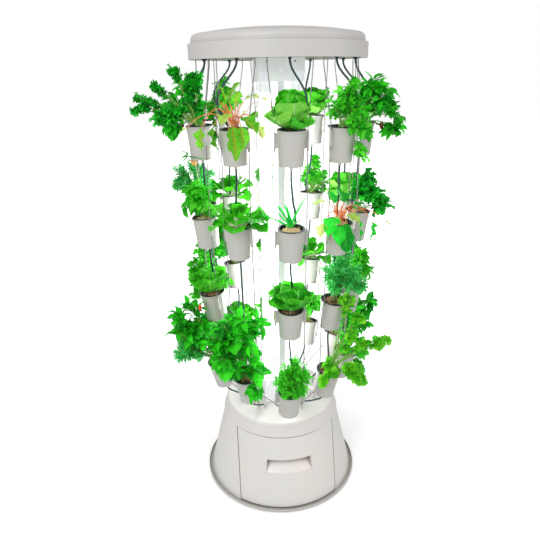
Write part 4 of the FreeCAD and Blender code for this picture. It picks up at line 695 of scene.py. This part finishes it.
def stalk_finish(name, colour, tip):
    """Juicy stem whose tone changes along it."""
    finish = Finish(name, colour, 0.38)
    tint = finish.tint()
    streak = finish.spread(finish.noise(90.0, 4.0), -0.2, 0.2)
    finish.paint(finish.blend(finish.sum_up("ADD", tint, streak), colour, tip))
    finish.shader.inputs["Subsurface Weight"].default_value = 0.15
    finish.shader.inputs["Subsurface Radius"].default_value = (0.002, 0.0015, 0.001)
    return finish.relief(finish.noise(500.0, 3.0), 0.0003).material


def fruit_finish(name, colour):
    """Smooth ripe skin with paler freckles."""
    finish = Finish(name, colour, 0.22)
    freckles = finish.spread(finish.noise(260.0, 4.0), 0, 0.5)
    finish.paint(finish.blend(freckles, colour, shade(colour, 1.5)))
    finish.shader.inputs["Coat Weight"].default_value = 0.4
    return finish.relief(finish.noise(150.0, 2.0), 0.0002).material


def foliage(name):
    """The finish of that name, made when the first plant asks for it."""
    made = bpy.data.materials.get(name)
    if made:
        return made
    plants = bpy.context.scene.tower_plants
    if name in LEAF_LOOKS:
        light, dark, rib, ribs, gloss, rib_share, crinkle = LEAF_LOOKS[name]
        return leaf_finish(name, light, dark, rib or tuple(plants.stem_red), ribs, gloss, plants.glow,
                           rib_share, crinkle)
    if name in STALK_LOOKS:
        base, tip = STALK_LOOKS[name]
        return stalk_finish(name, base or tuple(plants.stem_red), tip)
    return fruit_finish(name, FRUIT_LOOKS[name])


def unit(vectors):
    """Vectors of length one."""
    return vectors / np.maximum(np.linalg.norm(vectors, axis=-1, keepdims=True), 1e-9)


def square_to(along, guide):
    """Two directions square to a path and to each other, the first of them square to a guide too."""
    first = unit(np.cross(along, guide))
    return first, np.cross(along, first)


def push_off(points, middle, room, chosen=True):
    """Move the chosen points that are nearer than some room to an upright line straight away from it."""
    off = points[:, :2] - middle
    gap = np.linalg.norm(off, axis=1)
    grow = np.where(chosen & (gap < room), room / np.maximum(gap, 1e-5), 1)
    points[:, :2] = middle + off * grow[:, None]


def rim_height(column, row):
    """Height of the rim of a cup."""
    lower = column == 0 and row == len(RIMS) - 1
    return RIMS[row] - (FRONT_DROP if lower else 0)


def tinted_piece(name, points, faces, tints):
    """A smooth object whose points carry a tint."""
    mesh = bpy.data.meshes.new(name)
    mesh.from_pydata(points.tolist(), [], faces.tolist())
    tint = mesh.attributes.new("tint", "FLOAT", "POINT")
    tint.data.foreach_set("value", tints.astype(np.float32))
    mesh.shade_smooth()
    piece = bpy.data.objects.new(name, mesh)
    bpy.context.scene.collection.objects.link(piece)
    return piece


class Greens:
    """Leaves, stems and fruit of one plant, in the frame of its cup: X sideways, -Y outward, Z up."""

    def __init__(self, column, row, plants):
        self.column = column
        self.row = row
        self.draw = np.random.default_rng([plants.seed, column, row])
        self.plants = plants
        self.points = []
        self.faces = []
        self.uvs = []
        self.tints = []
        self.slots = []
        self.finishes = []
        self.count = 0

    def slot(self, finish):
        """Place of a finish in the piece's own list."""
        if finish not in self.finishes:
            self.finishes.append(finish)
        return self.finishes.index(finish)

    def grid(self, points, tint, finish, wrap=False, uvs=None):
        """Add grids of points, shaped (pieces, rows, columns, 3), as sheets or closed tubes."""
        pieces, rows, columns, _ = points.shape
        index = np.arange(rows * columns).reshape(rows, columns)
        if wrap:
            index = np.hstack([index, index[:, :1]])
        corners = (index[:-1, :-1], index[:-1, 1:], index[1:, 1:], index[1:, :-1])
        quads = np.stack(corners, axis=-1).reshape(-1, 4)
        starts = self.count + np.arange(pieces) * rows * columns
        self.faces.append((quads[None] + starts[:, None, None]).reshape(-1, 4))
        self.points.append(points.reshape(-1, 3))
        if uvs is None:
            uvs = np.zeros((pieces, rows, columns, 2))
            uvs[..., 0] = BESIDE_RIB
        self.uvs.append(uvs.reshape(-1, 2))
        self.tints.append(np.repeat(tint, rows * columns))
        self.slots.append(np.full(len(quads) * pieces, self.slot(finish)))
        self.count += pieces * rows * columns

    def leaves(self, roots, ways, length, width, finish, outline="ovate", rows=7, columns=3, droop=0.8,
               fold=0.3, ruffle=0.0, waves=2.5, tint=None, twist=None):
        """Leaves from their roots along their ways. Each may have its own length, width and droop."""
        many = len(roots)
        size = self.plants.leaf_size
        length = np.broadcast_to(length, many) * size
        width = np.broadcast_to(width, many) * size
        droop = np.broadcast_to(droop, many)[:, None, None, None]
        ways = unit(ways)
        normal = unit(LEAF_SIDE - (ways @ LEAF_SIDE)[:, None] * ways)
        side = np.cross(ways, normal)
        if twist is not None:
            turn = np.asarray(twist)[:, None]
            normal, side = (normal * np.cos(turn) + side * np.sin(turn),
                            side * np.cos(turn) - normal * np.sin(turn))
        along = np.linspace(0, 1, rows)[None, :, None, None]
        across = np.linspace(-1, 1, columns)[None, None, :, None]
        angle = np.where(np.abs(droop) < LEAST_DROOP, LEAST_DROOP, droop)
        reach = np.sin(angle * along) / angle
        sink = (1 - np.cos(angle * along)) / angle
        span = length[:, None, None, None]
        ways, normal, side = (part[:, None, None, :] for part in (ways, normal, side))
        spine = roots[:, None, None, :] + span * (ways * reach - normal * sink)
        lift = normal * np.cos(angle * along) + ways * np.sin(angle * along)
        share = np.interp(np.linspace(0, 1, rows), *np.array(OUTLINES[outline]).T)
        half = width[:, None, None, None] * share[None, :, None, None]
        phase = self.draw.uniform(*PHASES, (many, 1, 1, 1))
        edge = np.abs(across)
        coarse = np.sin(along * waves * FULL_TURN + phase + across * 1.3) * edge ** 1.5
        fine = np.sin(along * waves * FINE_ANGLE + phase * 1.7) * edge ** 3
        cup = edge ** 1.4 * math.sin(fold) + ruffle * (coarse + FINE_HEIGHT * fine)
        points = spine + half * (across * side * math.cos(fold) + lift * cup)
        uvs = np.zeros((many, rows, columns, 2))
        uvs[..., 0] = (across[..., 0] + 1) / 2
        uvs[..., 1] = along[..., 0]
        if tint is None:
            tint = self.draw.uniform(*TINTS, many)
        self.grid(points, tint, finish, uvs=uvs)

    def stalks(self, paths, radius, finish, tip=0.5, sides=5):
        """Round stems along paths shaped (stems, points, 3), thinner towards their tips."""
        many, steps, _ = paths.shape
        radius = np.broadcast_to(radius, many)
        along = unit(np.gradient(paths, axis=1))
        guide, other = square_to(along, STEM_GUIDE)
        turn = np.linspace(0, FULL_TURN, sides, endpoint=False)[None, None, :, None]
        taper = np.linspace(1, tip, steps)[None, :, None, None]
        ring = guide[:, :, None, :] * np.cos(turn) + other[:, :, None, :] * np.sin(turn)
        points = paths[:, :, None, :] + ring * radius[:, None, None, None] * taper
        self.grid(points, self.draw.uniform(*TINTS, many), finish, wrap=True)

    def fruit(self, middle, radius, length, finish):
        """A closed fruit round its middle, narrower towards its tip."""
        rows, sides = 9, 12
        turn = np.linspace(0, FULL_TURN, sides, endpoint=False)
        level = np.linspace(0, math.pi, rows)
        swell = np.sin(level) ** 0.8 * (1 - 0.25 * level / math.pi)
        points = np.zeros((1, rows, sides, 3))
        points[0, :, :, 0] = np.outer(swell, np.cos(turn)) * radius
        points[0, :, :, 1] = np.outer(swell, np.sin(turn)) * radius
        points[0, :, :, 2] = (np.cos(level) * length / 2)[:, None]
        self.grid(points + np.asarray(middle), np.array([0.5]), finish, wrap=True)

    def keep_clear(self, points):
        """Push points off the cup, its wires, the cup above and the lamps."""
        up = points[:, 2].copy()
        middle = np.outer(up, [0, -math.tan(math.radians(TILTS[self.row]))])
        radius = np.linalg.norm(points[:, :2] - middle, axis=1)
        wall = CUP_RADIUS + WALL_GAP + np.clip(up, -CUP_HEIGHT, 0) * CUP_TAPER
        beside = (up < RIM_GAP) & (up > -CUP_HEIGHT - FOOT_GAP)
        push_off(points, middle, wall, beside & (radius > BED_REACH))
        bed = beside & (radius <= BED_REACH)
        points[bed, 2] = np.maximum(up[bed], -BED_DEPTH)
        for wire in (-EAR_PLACE, EAR_PLACE):
            push_off(points, (wire, 0), WIRE_GAP)
        above = [row for row in range(self.row) if PLANTING[self.column][row]]
        if above:
            foot = RIMS[above[-1]] - rim_height(self.column, self.row) - CUP_HEIGHT
            push_off(points, (0, RINGS[self.row] - RINGS[above[-1]]), CUP_RADIUS + UPPER_WALL_GAP,
                     points[:, 2] > foot - UPPER_FOOT_GAP)
        points[:, 1] = np.minimum(points[:, 1], RINGS[self.row] - LAMP_CLEARANCE)
        return points

    def build(self, name):
        """The plant as one piece that stands for its share of the row's foliage."""
        points = self.keep_clear(np.concatenate(self.points))
        turn = np.array(Matrix.Rotation(self.column * COLUMN_TURN, 3, "Z"))
        points = (points + [0, -RINGS[self.row], rim_height(self.column, self.row)]) @ turn.T
        faces = np.concatenate(self.faces)
        piece = tinted_piece(name, points, faces, np.concatenate(self.tints))
        layer = piece.data.uv_layers.new(name="leaf")
        layer.data.foreach_set("uv", np.concatenate(self.uvs)[faces.ravel()].astype(np.float32).ravel())
        piece.data.polygons.foreach_set("material_index", np.concatenate(self.slots).astype(np.int32))
        for finish in self.finishes:
            piece.data.materials.append(foliage(finish))
        piece.data.update()
        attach(piece, "tower")
        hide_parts("plants_" + ROW_NAMES[self.row])


def bowed(starts, ends, rise, steps=6, crest=0.45):
    """Paths from starts to ends that rise most at the crest, shaped (stems, steps, 3)."""
    share = np.linspace(0, 1, steps)[None, :, None]
    middle = starts + (ends - starts) * crest + UPWARD * rise[:, None]
    return ((1 - share) ** 2 * starts[:, None] + 2 * share * (1 - share) * middle[:, None]
            + share ** 2 * ends[:, None])


def fan(turn, lift):
    """Directions that are turned round a crown and lifted off level, both in radians."""
    return np.stack([np.cos(turn) * np.cos(lift), np.sin(turn) * np.cos(lift), np.sin(lift)], axis=1)


def lettuce(greens):
    """Open head of broad leaves: upright cupped ones inside, wide ruffled ones outside."""
    draw = greens.draw
    rings = CLOSE_HEAD if greens.row < 2 else OPEN_HEAD
    for place, (count, rise, length, width, finish) in enumerate(rings):
        turn = np.arange(count) * GOLDEN_TURN + place * RING_SHIFT + draw.uniform(-0.25, 0.25, count)
        lift = np.radians(rise + draw.uniform(-9, 9, count))
        ways = fan(turn, lift)
        roots = ways * CROWN_RADIUS * LEVEL + UPWARD * CROWN_HEIGHT
        sizes = draw.uniform(0.86, 1.12, count)
        greens.leaves(roots, ways, length * sizes, width * sizes, finish, "head", rows=13, columns=11,
                      droop=draw.uniform(-1.5, -0.3, count), fold=0.55, ruffle=0.30,
                      waves=draw.uniform(1.6, 2.6))


def choy(greens):
    """Spoon-shaped leaves on broad pale stalks."""
    draw = greens.draw
    for count, rise, length, width in CHOY_RINGS:
        turn = np.arange(count) * GOLDEN_TURN + draw.uniform(0, 1, count)
        lift = np.radians(rise + draw.uniform(-8, 8, count))
        ways = fan(turn, lift)
        tips = ways * CHOY_STALK
        stalks = bowed(ways * 0.003, tips, np.full(count, 0.002))
        greens.stalks(stalks, CHOY_STALK_RADIUS, "pale_stalk", tip=0.6, sides=6)
        greens.leaves(tips * 0.9, ways, length * draw.uniform(0.85, 1.15, count), width, "head_leaf", "head",
                      rows=10, columns=7, droop=draw.uniform(0.2, 1.2, count), fold=0.40, ruffle=0.20,
                      waves=1.8)


def aloe(greens):
    """Stiff spikes that fan out of the middle, most of them to one side."""
    draw = greens.draw
    turn = np.arange(SPIKES) * GOLDEN_TURN
    lift = np.radians(np.linspace(*SPIKE_RISES, SPIKES) + draw.uniform(-8, 8, SPIKES))
    ways = fan(turn, lift) - [SPIKE_LEAN, 0, 0]
    length = np.linspace(*SPIKE_LENGTHS, SPIKES) * draw.uniform(0.8, 1.1, SPIKES)
    greens.leaves(ways * CROWN_RADIUS, ways, length, SPIKE_WIDTH, "spike_leaf", "spike", rows=9, columns=5,
                  droop=draw.uniform(0.02, 0.35, SPIKES), fold=0.8, tint=draw.uniform(0.3, 1.0, SPIKES))


def chard(greens):
    """Long coloured stems: some stand up, and some arch over the rim and hang their leaves outside."""
    draw = greens.draw
    outward = (1 if greens.column == COLUMNS - 1 else -1, -1, 1)
    table = np.array(CHARD_STEMS) * MILLIMETRE
    many = len(table)
    ends, ways = table[:, :3] * outward, table[:, 4:7] * outward
    rise, length, width = table[:, 3], table[:, 7], table[:, 8]
    if greens.row:
        ends[:, 2] *= LOWER_CHARD
    if greens.column == COLUMNS // 2:
        ends[:, 1] *= REAR_CHARD
    starts = draw.uniform(-CHARD_FOOT, CHARD_FOOT, (many, 3)) * LEVEL
    paths = bowed(starts, ends, rise, 12)
    greens.stalks(paths, draw.uniform(*CHARD_RADII, many), "red_stalk", tip=0.6, sides=6)
    bare = draw.uniform(-1, 1, (many, 3)) * BARE_SPREAD + BARE_MIDDLE
    greens.stalks(bowed(starts * 1.4, bare, np.full(many, BARE_RISE), 9), BARE_RADIUS, "red_stalk")
    pale = np.arange(many) % 3 == 1
    full = "dark_leaf" if greens.row else "chard_leaf"
    for chosen, finish in ((pale, "pale_chard"), (~pale, full)):
        greens.leaves(ends[chosen], ways[chosen], length[chosen], width[chosen], finish, rows=12, columns=9,
                      droop=draw.uniform(0.1, 0.8, chosen.sum()), ruffle=0.30, waves=2.4)


def spray(greens, kind):
    """Branching herb: a few stems into each mass of foliage, with twigs that fill it and leaves on them."""
    draw = greens.draw
    for number, (side, out, up, size) in enumerate(np.array(MASSES[kind]) * MILLIMETRE * GROWTH):
        like = "rosemary" if kind == "hedge" and number >= HEDGE_ROSEMARY else LIKE.get(kind, kind)
        stalk = "woody_stalk" if like in WOODY else "green_stalk"
        habit = SPRAYS[like]
        room = (RINGS[greens.row] + out) * math.sin(COLUMN_TURN / 2) - size
        middle = np.array([max(-room, min(room, side)), -out, up])
        ends = middle + draw.normal(size=(MAIN_STEMS, 3)) * size * END_SPREAD
        starts = draw.uniform(-SPRAY_FOOT, SPRAY_FOOT, (MAIN_STEMS, 3)) * LEVEL
        rise = STEM_RISE + STEM_RISE_SHARE * np.hypot(ends[:, 0], ends[:, 1])
        paths = bowed(starts, ends, rise, MAIN_STEPS)
        greens.stalks(paths, habit.stem * MAIN_THICKNESS, stalk)
        twigs = max(FEWEST_TWIGS, round(habit.twigs * (size * 100) ** 2 * greens.plants.fullness))
        spots = unit(draw.normal(size=(twigs, 3)) + TWIG_PULL)
        tips = middle + spots * size * draw.uniform(*TIP_REACH, twigs)[:, None]
        forks = paths[draw.integers(0, MAIN_STEMS, twigs), draw.integers(FIRST_FORK, MAIN_STEPS, twigs)]
        twig_paths = bowed(forks, tips, np.full(twigs, size * TWIG_RISE), 7)
        greens.stalks(twig_paths, habit.stem * TWIG_THICKNESS, stalk, tip=0.4, sides=4)
        spray_leaves(greens, habit, twig_paths, number)


def spray_leaves(greens, habit, paths, number):
    """Leaves along each twig, in turn to every side."""
    draw = greens.draw
    twigs, steps, _ = paths.shape
    share = np.linspace(habit.lowest, 1, habit.leaves)
    place = share * (steps - 1)
    low = np.minimum(place.astype(int), steps - 2)
    part = (place - low)[None, :, None]
    roots = paths[:, low] * (1 - part) + paths[:, low + 1] * part
    along = unit(paths[:, low + 1] - paths[:, low])
    turn = np.arange(habit.leaves)[None, :] * GOLDEN_TURN + draw.uniform(*PHASES, (twigs, 1)) + number
    guide, other = square_to(along, LEAF_GUIDE)
    around = guide * np.cos(turn)[..., None] + other * np.sin(turn)[..., None]
    lean = np.radians(habit.lean) * (1 - TIP_CLOSING * share[None, :, None] ** 3)
    ways = along * np.cos(lean) + around * np.sin(lean)
    many = twigs * habit.leaves
    every = (twigs, habit.leaves)
    small = (0.7 + 0.45 * np.sin(share * 2.6))[None, :] * draw.uniform(*LEAF_SIZES, every)
    # Painted light and shade: leaves low on a twig, deep in the mass, are darker; those towards its tip are
    # lighter
    tint = PAINTED_SHADE_TINT + PAINTED_LIGHT_RISE * share[None, :] + draw.normal(0, TINT_SCATTER, every)
    greens.leaves(roots.reshape(many, 3), ways.reshape(many, 3), habit.length * small.ravel(),
                  habit.width * small.ravel(), habit.finish, habit.outline, habit.rows,
                  droop=habit.droop * draw.uniform(*LEAF_DROOPS, many), fold=habit.fold,
                  ruffle=habit.ruffle, waves=LEAF_WAVES, tint=np.clip(tint, 0, 1).ravel(),
                  twist=draw.uniform(*LEAF_TWISTS, many))


def fruits(greens, kind):
    """The few fruits that show among the leaves, and the basil's shoot with its bud."""
    if kind in FRUITS:
        greens.fruit(*FRUITS[kind])
    if kind == "basil" and greens.column == SHOOT_COLUMN:
        greens.stalks(np.array([SHOOT]), SHOOT_RADIUS, "pale_stalk", tip=0.7)
        greens.fruit(*BUD)
        roots = np.tile(SHOOT[3], (len(SHOOT_LEAVES), 1))
        greens.leaves(roots, np.array(SHOOT_LEAVES), *SHOOT_LEAF_SIZE, "glossy_leaf")


def grow(kinds):
    """Build every plant of some kinds, each as a piece of its own."""
    plants = bpy.context.scene.tower_plants
    for column, column_kinds in enumerate(PLANTING):
        for row, kind in enumerate(column_kinds):
            if kind not in kinds:
                continue
            greens = Greens(column, row, plants)
            if kind in ROSETTES:
                ROSETTES[kind](greens)
            else:
                spray(greens, kind)
                fruits(greens, kind)
            greens.build(f"{kind}_{ROW_NAMES[row]}_{column}")


# Kinds whose leaves or stems all leave one crown
ROSETTES = {"lettuce": lettuce, "choy": choy, "aloe": aloe, "chard": chard}


def dress(material, *nodes):
    """Give nodes of the frame one finish."""
    for name in nodes:
        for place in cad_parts[name].material_slots:
            place.material = material


class TOWER_OT_housing(bpy.types.Operator):
    """Finish the base, the drawer and the cap"""
    bl_idname = "tower.housing"
    bl_label = "Housing"

    def execute(self, context):
        colours = context.scene.tower_finishes
        body = tuple(colours.housing)
        for name, (share, roughness, warm, shade_reach, nodes) in HOUSING.items():
            dress(moulded_plastic(name, shade(body, share), roughness, colours.grain, warm, shade_reach), *nodes)
        dress(foot_rubber(), "rubber_feet")
        return {"FINISHED"}


class TOWER_OT_waterworks(bpy.types.Operator):
    """Finish the tank, the pump and what carries the water"""
    bl_idname = "tower.waterworks"
    bl_label = "Tank and pump"

    def execute(self, context):
        colours = context.scene.tower_finishes
        tank = moulded_plastic("Tank plastic", tuple(colours.tank), 0.32, colours.grain)
        dress(tank, "reservoir_tank", "tank_cover", "fill_flap", "return_funnel")
        black = moulded_plastic("Black plastic", tuple(colours.dark), 0.42, colours.grain)
        dress(black, "drawer_runners", "tank_valve", "valve_socket", "pump_housing", "pump_motor",
              "power_supply", "power_inlet", "feed_manifold")
        dress(moulded_plastic("Impeller plastic", (0.75, 0.74, 0.70), 0.3, colours.grain), "pump_impeller")
        tube = soft_tube("Water tube", tuple(colours.hose))
        dress(tube, "riser_hose", "drain_tubes", "tube_bushes")
        return {"FINISHED"}


class TOWER_OT_feeds(bpy.types.Operator):
    """Run the soft tubes from the cap's plate to the top cups"""
    bl_idname = "tower.feeds"
    bl_label = "Feed tubes"

    def execute(self, context):
        curve = bpy.data.curves.new("feed_lines", "CURVE")
        curve.dimensions = "3D"
        curve.resolution_u = 10
        curve.bevel_depth = TUBE_RADIUS
        curve.bevel_resolution = 4
        curve.use_fill_caps = True
        for column, bow in enumerate(BOWS):
            turn = Matrix.Rotation(column * COLUMN_TURN, 3, "Z")
            line = curve.splines.new("NURBS")
            line.points.add(len(FEED_ROUTE) - 1)
            for point, (side, out, up) in zip(line.points, FEED_ROUTE):
                point.co = (*(turn @ Vector((bow * side, -out, up))), 1)
            line.order_u = 4
            line.use_endpoint_u = True
        curve.materials.append(bpy.data.materials["Water tube"])
        lines = bpy.data.objects.new("feed_lines", curve)
        context.scene.collection.objects.link(lines)
        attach(lines, "tower")
        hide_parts("feed_tubes")
        return {"FINISHED"}


class TOWER_OT_lamps(bpy.types.Operator):
    """Finish the lit column and its head"""
    bl_idname = "tower.lamps"
    bl_label = "Lit column"

    def execute(self, context):
        colours = context.scene.tower_finishes
        white = tuple(colours.lamp_case)
        dress(lamp_case(white, colours.grain), "lamp_head", "lamp_sockets_lower", "lamp_sockets_upper",
              "lamp_button")
        dress(lamp_rail(shade(white, 0.95)), "lamp_rails", "mast_tube")
        dress(lit_glass(colours.lamp_glow), "lamp_tubes")
        dress(lamp_board(), "led_boards")
        return {"FINISHED"}


class TOWER_OT_wires(bpy.types.Operator):
    """Finish the wires, their nuts and the plate that they hang from"""
    bl_idname = "tower.wires"
    bl_label = "Wires"

    def execute(self, context):
        colours = context.scene.tower_finishes
        steel = drawn_steel("Drawn wire", tuple(colours.steel), 0.34)
        dress(steel, "hanger_wires", "wire_nuts", "flap_pin")
        dress(drawn_steel("Plate steel", shade(tuple(colours.steel), 1.3), 0.42), "hanger_plate")
        dress(moulded_plastic("Bead plastic", (0.30, 0.29, 0.28), 0.4, colours.grain), "wire_beads")
        return {"FINISHED"}


class TOWER_OT_cups(bpy.types.Operator):
    """Finish the hanging cups and the net cups in them"""
    bl_idname = "tower.cups"
    bl_label = "Cups"

    def execute(self, context):
        colours = context.scene.tower_finishes
        white = moulded_plastic("Cup plastic", tuple(colours.cups), 0.33, colours.grain * 0.6)
        black = moulded_plastic("Net cup plastic", tuple(colours.dark), 0.45, colours.grain)
        for row in ROW_NAMES:
            dress(white, "cups_" + row)
            dress(black, "net_cups_" + row)
        return {"FINISHED"}


def stone_bed(row):
    """Pebbles in the cups of one row, as points, faces and a tint for each point."""
    draw = np.random.default_rng(STONE_SEED + row)
    ball = bmesh.new()
    bmesh.ops.create_icosphere(ball, subdivisions=2, radius=1)
    shape = np.array([vert.co for vert in ball.verts])
    sides = np.array([[vert.index for vert in face.verts] for face in ball.faces])
    ball.free()
    points, faces, tints = [], [], []
    for column in range(COLUMNS):
        if not PLANTING[column][row]:
            continue
        turn = (Matrix.Rotation(column * COLUMN_TURN, 4, "Z")
                @ Matrix.Translation((0, -RINGS[row], rim_height(column, row)))
                @ Matrix.Rotation(math.radians(TILTS[row]), 4, "X"))
        for number in range(STONES):
            reach = STONE_REACH * math.sqrt((number + 0.5) / STONES)
            angle = number * GOLDEN_TURN
            size = draw.uniform(*STONE_RADII)
            middle = Vector((reach * math.cos(angle), reach * math.sin(angle),
                             -STONE_DEPTH + draw.uniform(*STONE_LEVELS)))
            stretch = draw.uniform(*STONE_STRETCH, 3)
            lumps = 1 + STONE_LUMPS * np.sin(shape @ draw.uniform(-4, 4, 3) + draw.uniform(0, 6))
            stone = shape * stretch * lumps[:, None] * size
            where = np.array(turn.to_3x3()) @ (stone + np.array(middle)).T
            faces.append(sides + len(points) * len(shape))
            points.append(where.T + np.array(turn.translation))
            tints.append(np.full(len(shape), draw.uniform(0, 1)))
    return np.concatenate(points), np.concatenate(faces), np.concatenate(tints)


class TOWER_OT_pebbles(bpy.types.Operator):
    """Fill the net cups with clay pebbles"""
    bl_idname = "tower.pebbles"
    bl_label = "Pebbles"

    def execute(self, context):
        colour = tuple(context.scene.tower_finishes.clay)
        for row, name in enumerate(ROW_NAMES):
            darks, tone = BED_TONES[name]
            clay = baked_clay("Clay of the " + name + " row", shade(colour, tone), darks)
            stones = tinted_piece("stones_" + name, *stone_bed(row))
            stones.data.materials.append(clay)
            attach(stones, "tower")
            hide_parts("pebbles_" + name)
        return {"FINISHED"}


class TOWER_OT_rosettes(bpy.types.Operator):
    """Grow the plants whose leaves all leave one crown"""
    bl_idname = "tower.rosettes"
    bl_label = "Lettuce, choy and aloe"

    def execute(self, context):
        grow(("lettuce", "choy", "aloe"))
        return {"FINISHED"}


class TOWER_OT_chard(bpy.types.Operator):
    """Grow the chard, with its coloured stems"""
    bl_idname = "tower.chard"
    bl_label = "Chard"

    def execute(self, context):
        grow(("chard",))
        return {"FINISHED"}


class TOWER_OT_herbs(bpy.types.Operator):
    """Grow the branching herbs, peppers and vines"""
    bl_idname = "tower.herbs"
    bl_label = "Herbs, peppers and vines"

    def execute(self, context):
        grow(tuple(MASSES))
        return {"FINISHED"}


def stage_floor():
    """Pale floor that stays white to the camera and keeps a soft shadow."""
    finish = Finish("Pale floor", (0.86, 0.86, 0.86), 0.7)
    finish.paint(finish.blend(finish.noise(1.3, 2.0), (0.85, 0.85, 0.85), (0.88, 0.88, 0.88)))
    bright = finish.node("Emission", Strength=1.0)
    seen = finish.node("LightPath").outputs["Is Camera Ray"]
    away = finish.node("VectorMath", operation="LENGTH")
    finish.join(finish.place(), away.inputs[0])
    level = finish.spread(away.outputs["Value"], *FLOOR_GLOW, *FLOOR_FADE)
    both = finish.node("AddShader")
    finish.join(finish.sum_up("MULTIPLY", seen, level), bright.inputs["Strength"])
    finish.join(finish.shader.outputs["BSDF"], both.inputs[0])
    finish.join(bright.outputs["Emission"], both.inputs[1])
    finish.join(both.outputs["Shader"], finish.nodes["Material Output"].inputs["Surface"])
    mesh = bpy.data.meshes.new("studio_floor")
    corners = [(x * FLOOR_SPAN, y * FLOOR_SPAN, 0) for x, y in ((-1, -1), (1, -1), (1, 1), (-1, 1))]
    mesh.from_pydata(corners, [], [(0, 1, 2, 3)])
    mesh.materials.append(finish.material)
    floor = bpy.data.objects.new("studio_floor", mesh)
    bpy.context.scene.collection.objects.link(floor)


def white_room(strength):
    """World that is white to the camera and lights the tower evenly."""
    world = bpy.data.worlds.new("White room")
    bpy.context.scene.world = world
    world.use_nodes = True
    nodes, links = world.node_tree.nodes, world.node_tree.links
    seen = nodes.new("ShaderNodeLightPath").outputs["Is Camera Ray"]
    level = nodes.new("ShaderNodeMapRange")
    level.inputs["To Min"].default_value = strength
    level.inputs["To Max"].default_value = 1.0
    links.new(seen, level.inputs["Value"])
    nodes["Background"].inputs["Color"].default_value = (1, 1, 1, 1)
    links.new(level.outputs["Result"], nodes["Background"].inputs["Strength"])


def soft_light(name, place, side, power):
    """Large square light that faces the middle of the tower."""
    light = bpy.data.lights.new(name, "AREA")
    light.size = side
    light.energy = power
    lamp = bpy.data.objects.new(name, light)
    lamp.location = place
    lamp.rotation_euler = (Vector(LIT_POINT) - Vector(place)).to_track_quat("-Z", "Y").to_euler()
    bpy.context.scene.collection.objects.link(lamp)


def aimed_camera(stage):
    """Camera that stands, looks and leans as the settings of the stage say."""
    look = bpy.data.cameras.new("Camera")
    look.lens = stage.lens
    look.sensor_width = SENSOR_WIDTH
    flat = math.cos(stage.pitch)
    sideways = Vector((math.cos(stage.yaw), -math.sin(stage.yaw), 0))
    ahead = Vector((math.sin(stage.yaw) * flat, math.cos(stage.yaw) * flat, -math.sin(stage.pitch)))
    upward = sideways.cross(ahead)
    right = sideways * math.cos(stage.roll) + upward * math.sin(stage.roll)
    above = upward * math.cos(stage.roll) - sideways * math.sin(stage.roll)
    pose = Matrix((right, above, -ahead)).transposed().to_4x4()
    pose.translation = Vector((0, -stage.distance, stage.eye_height))
    camera = bpy.data.objects.new("Camera", look)
    camera.matrix_world = Matrix.Rotation(stage.turn, 4, "Z") @ pose
    bpy.context.scene.collection.objects.link(camera)
    return camera


class TOWER_OT_stage(bpy.types.Operator):
    """Set up the floor, the light and the camera"""
    bl_idname = "tower.stage"
    bl_label = "Floor, light and camera"

    def execute(self, context):
        stage = context.scene.tower_stage
        context.scene.view_settings.view_transform = "Standard"
        stage_floor()
        white_room(stage.sky)
        soft_light("Key", KEY_PLACE, KEY_SIDE, stage.key)
        soft_light("Fill", FILL_PLACE, FILL_SIDE, stage.fill)
        context.scene.camera = aimed_camera(stage)
        return {"FINISHED"}


class TOWER_PT_panel(bpy.types.Panel):
    """The tower's pieces in the sidebar"""
    bl_idname = "TOWER_PT_panel"
    bl_label = "Planter Tower"
    bl_space_type = "VIEW_3D"
    bl_region_type = "UI"
    bl_category = "Tower"

    def draw(self, context):
        for operator in OPERATORS:
            self.layout.operator(operator.bl_idname)
        for group in (context.scene.tower_finishes, context.scene.tower_plants, context.scene.tower_stage):
            box = self.layout.box()
            for name in group.__annotations__:
                box.prop(group, name)


GROUPS = (TowerFinishes, TowerPlants, TowerStage)
OPERATORS = (TOWER_OT_housing, TOWER_OT_waterworks, TOWER_OT_feeds, TOWER_OT_lamps, TOWER_OT_wires,
             TOWER_OT_cups, TOWER_OT_pebbles, TOWER_OT_rosettes, TOWER_OT_chard, TOWER_OT_herbs,
             TOWER_OT_stage)


def register():
    """Add the classes and the settings."""
    for kind in (*GROUPS, *OPERATORS, TOWER_PT_panel):
        bpy.utils.register_class(kind)
    bpy.types.Scene.tower_finishes = bpy.props.PointerProperty(type=TowerFinishes)
    bpy.types.Scene.tower_plants = bpy.props.PointerProperty(type=TowerPlants)
    bpy.types.Scene.tower_stage = bpy.props.PointerProperty(type=TowerStage)


def unregister():
    """Take the classes and the settings away."""
    del bpy.types.Scene.tower_stage
    del bpy.types.Scene.tower_plants
    del bpy.types.Scene.tower_finishes
    for kind in reversed((*GROUPS, *OPERATORS, TOWER_PT_panel)):
        bpy.utils.unregister_class(kind)


def main():
    """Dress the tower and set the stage."""
    register()
    bpy.ops.tower.housing()
    bpy.ops.tower.waterworks()
    bpy.ops.tower.feeds()
    bpy.ops.tower.lamps()
    bpy.ops.tower.wires()
    bpy.ops.tower.cups()
    bpy.ops.tower.pebbles()
    bpy.ops.tower.rosettes()
    bpy.ops.tower.chard()
    bpy.ops.tower.herbs()
    bpy.ops.tower.stage()


if __name__ == "__main__":
    main()
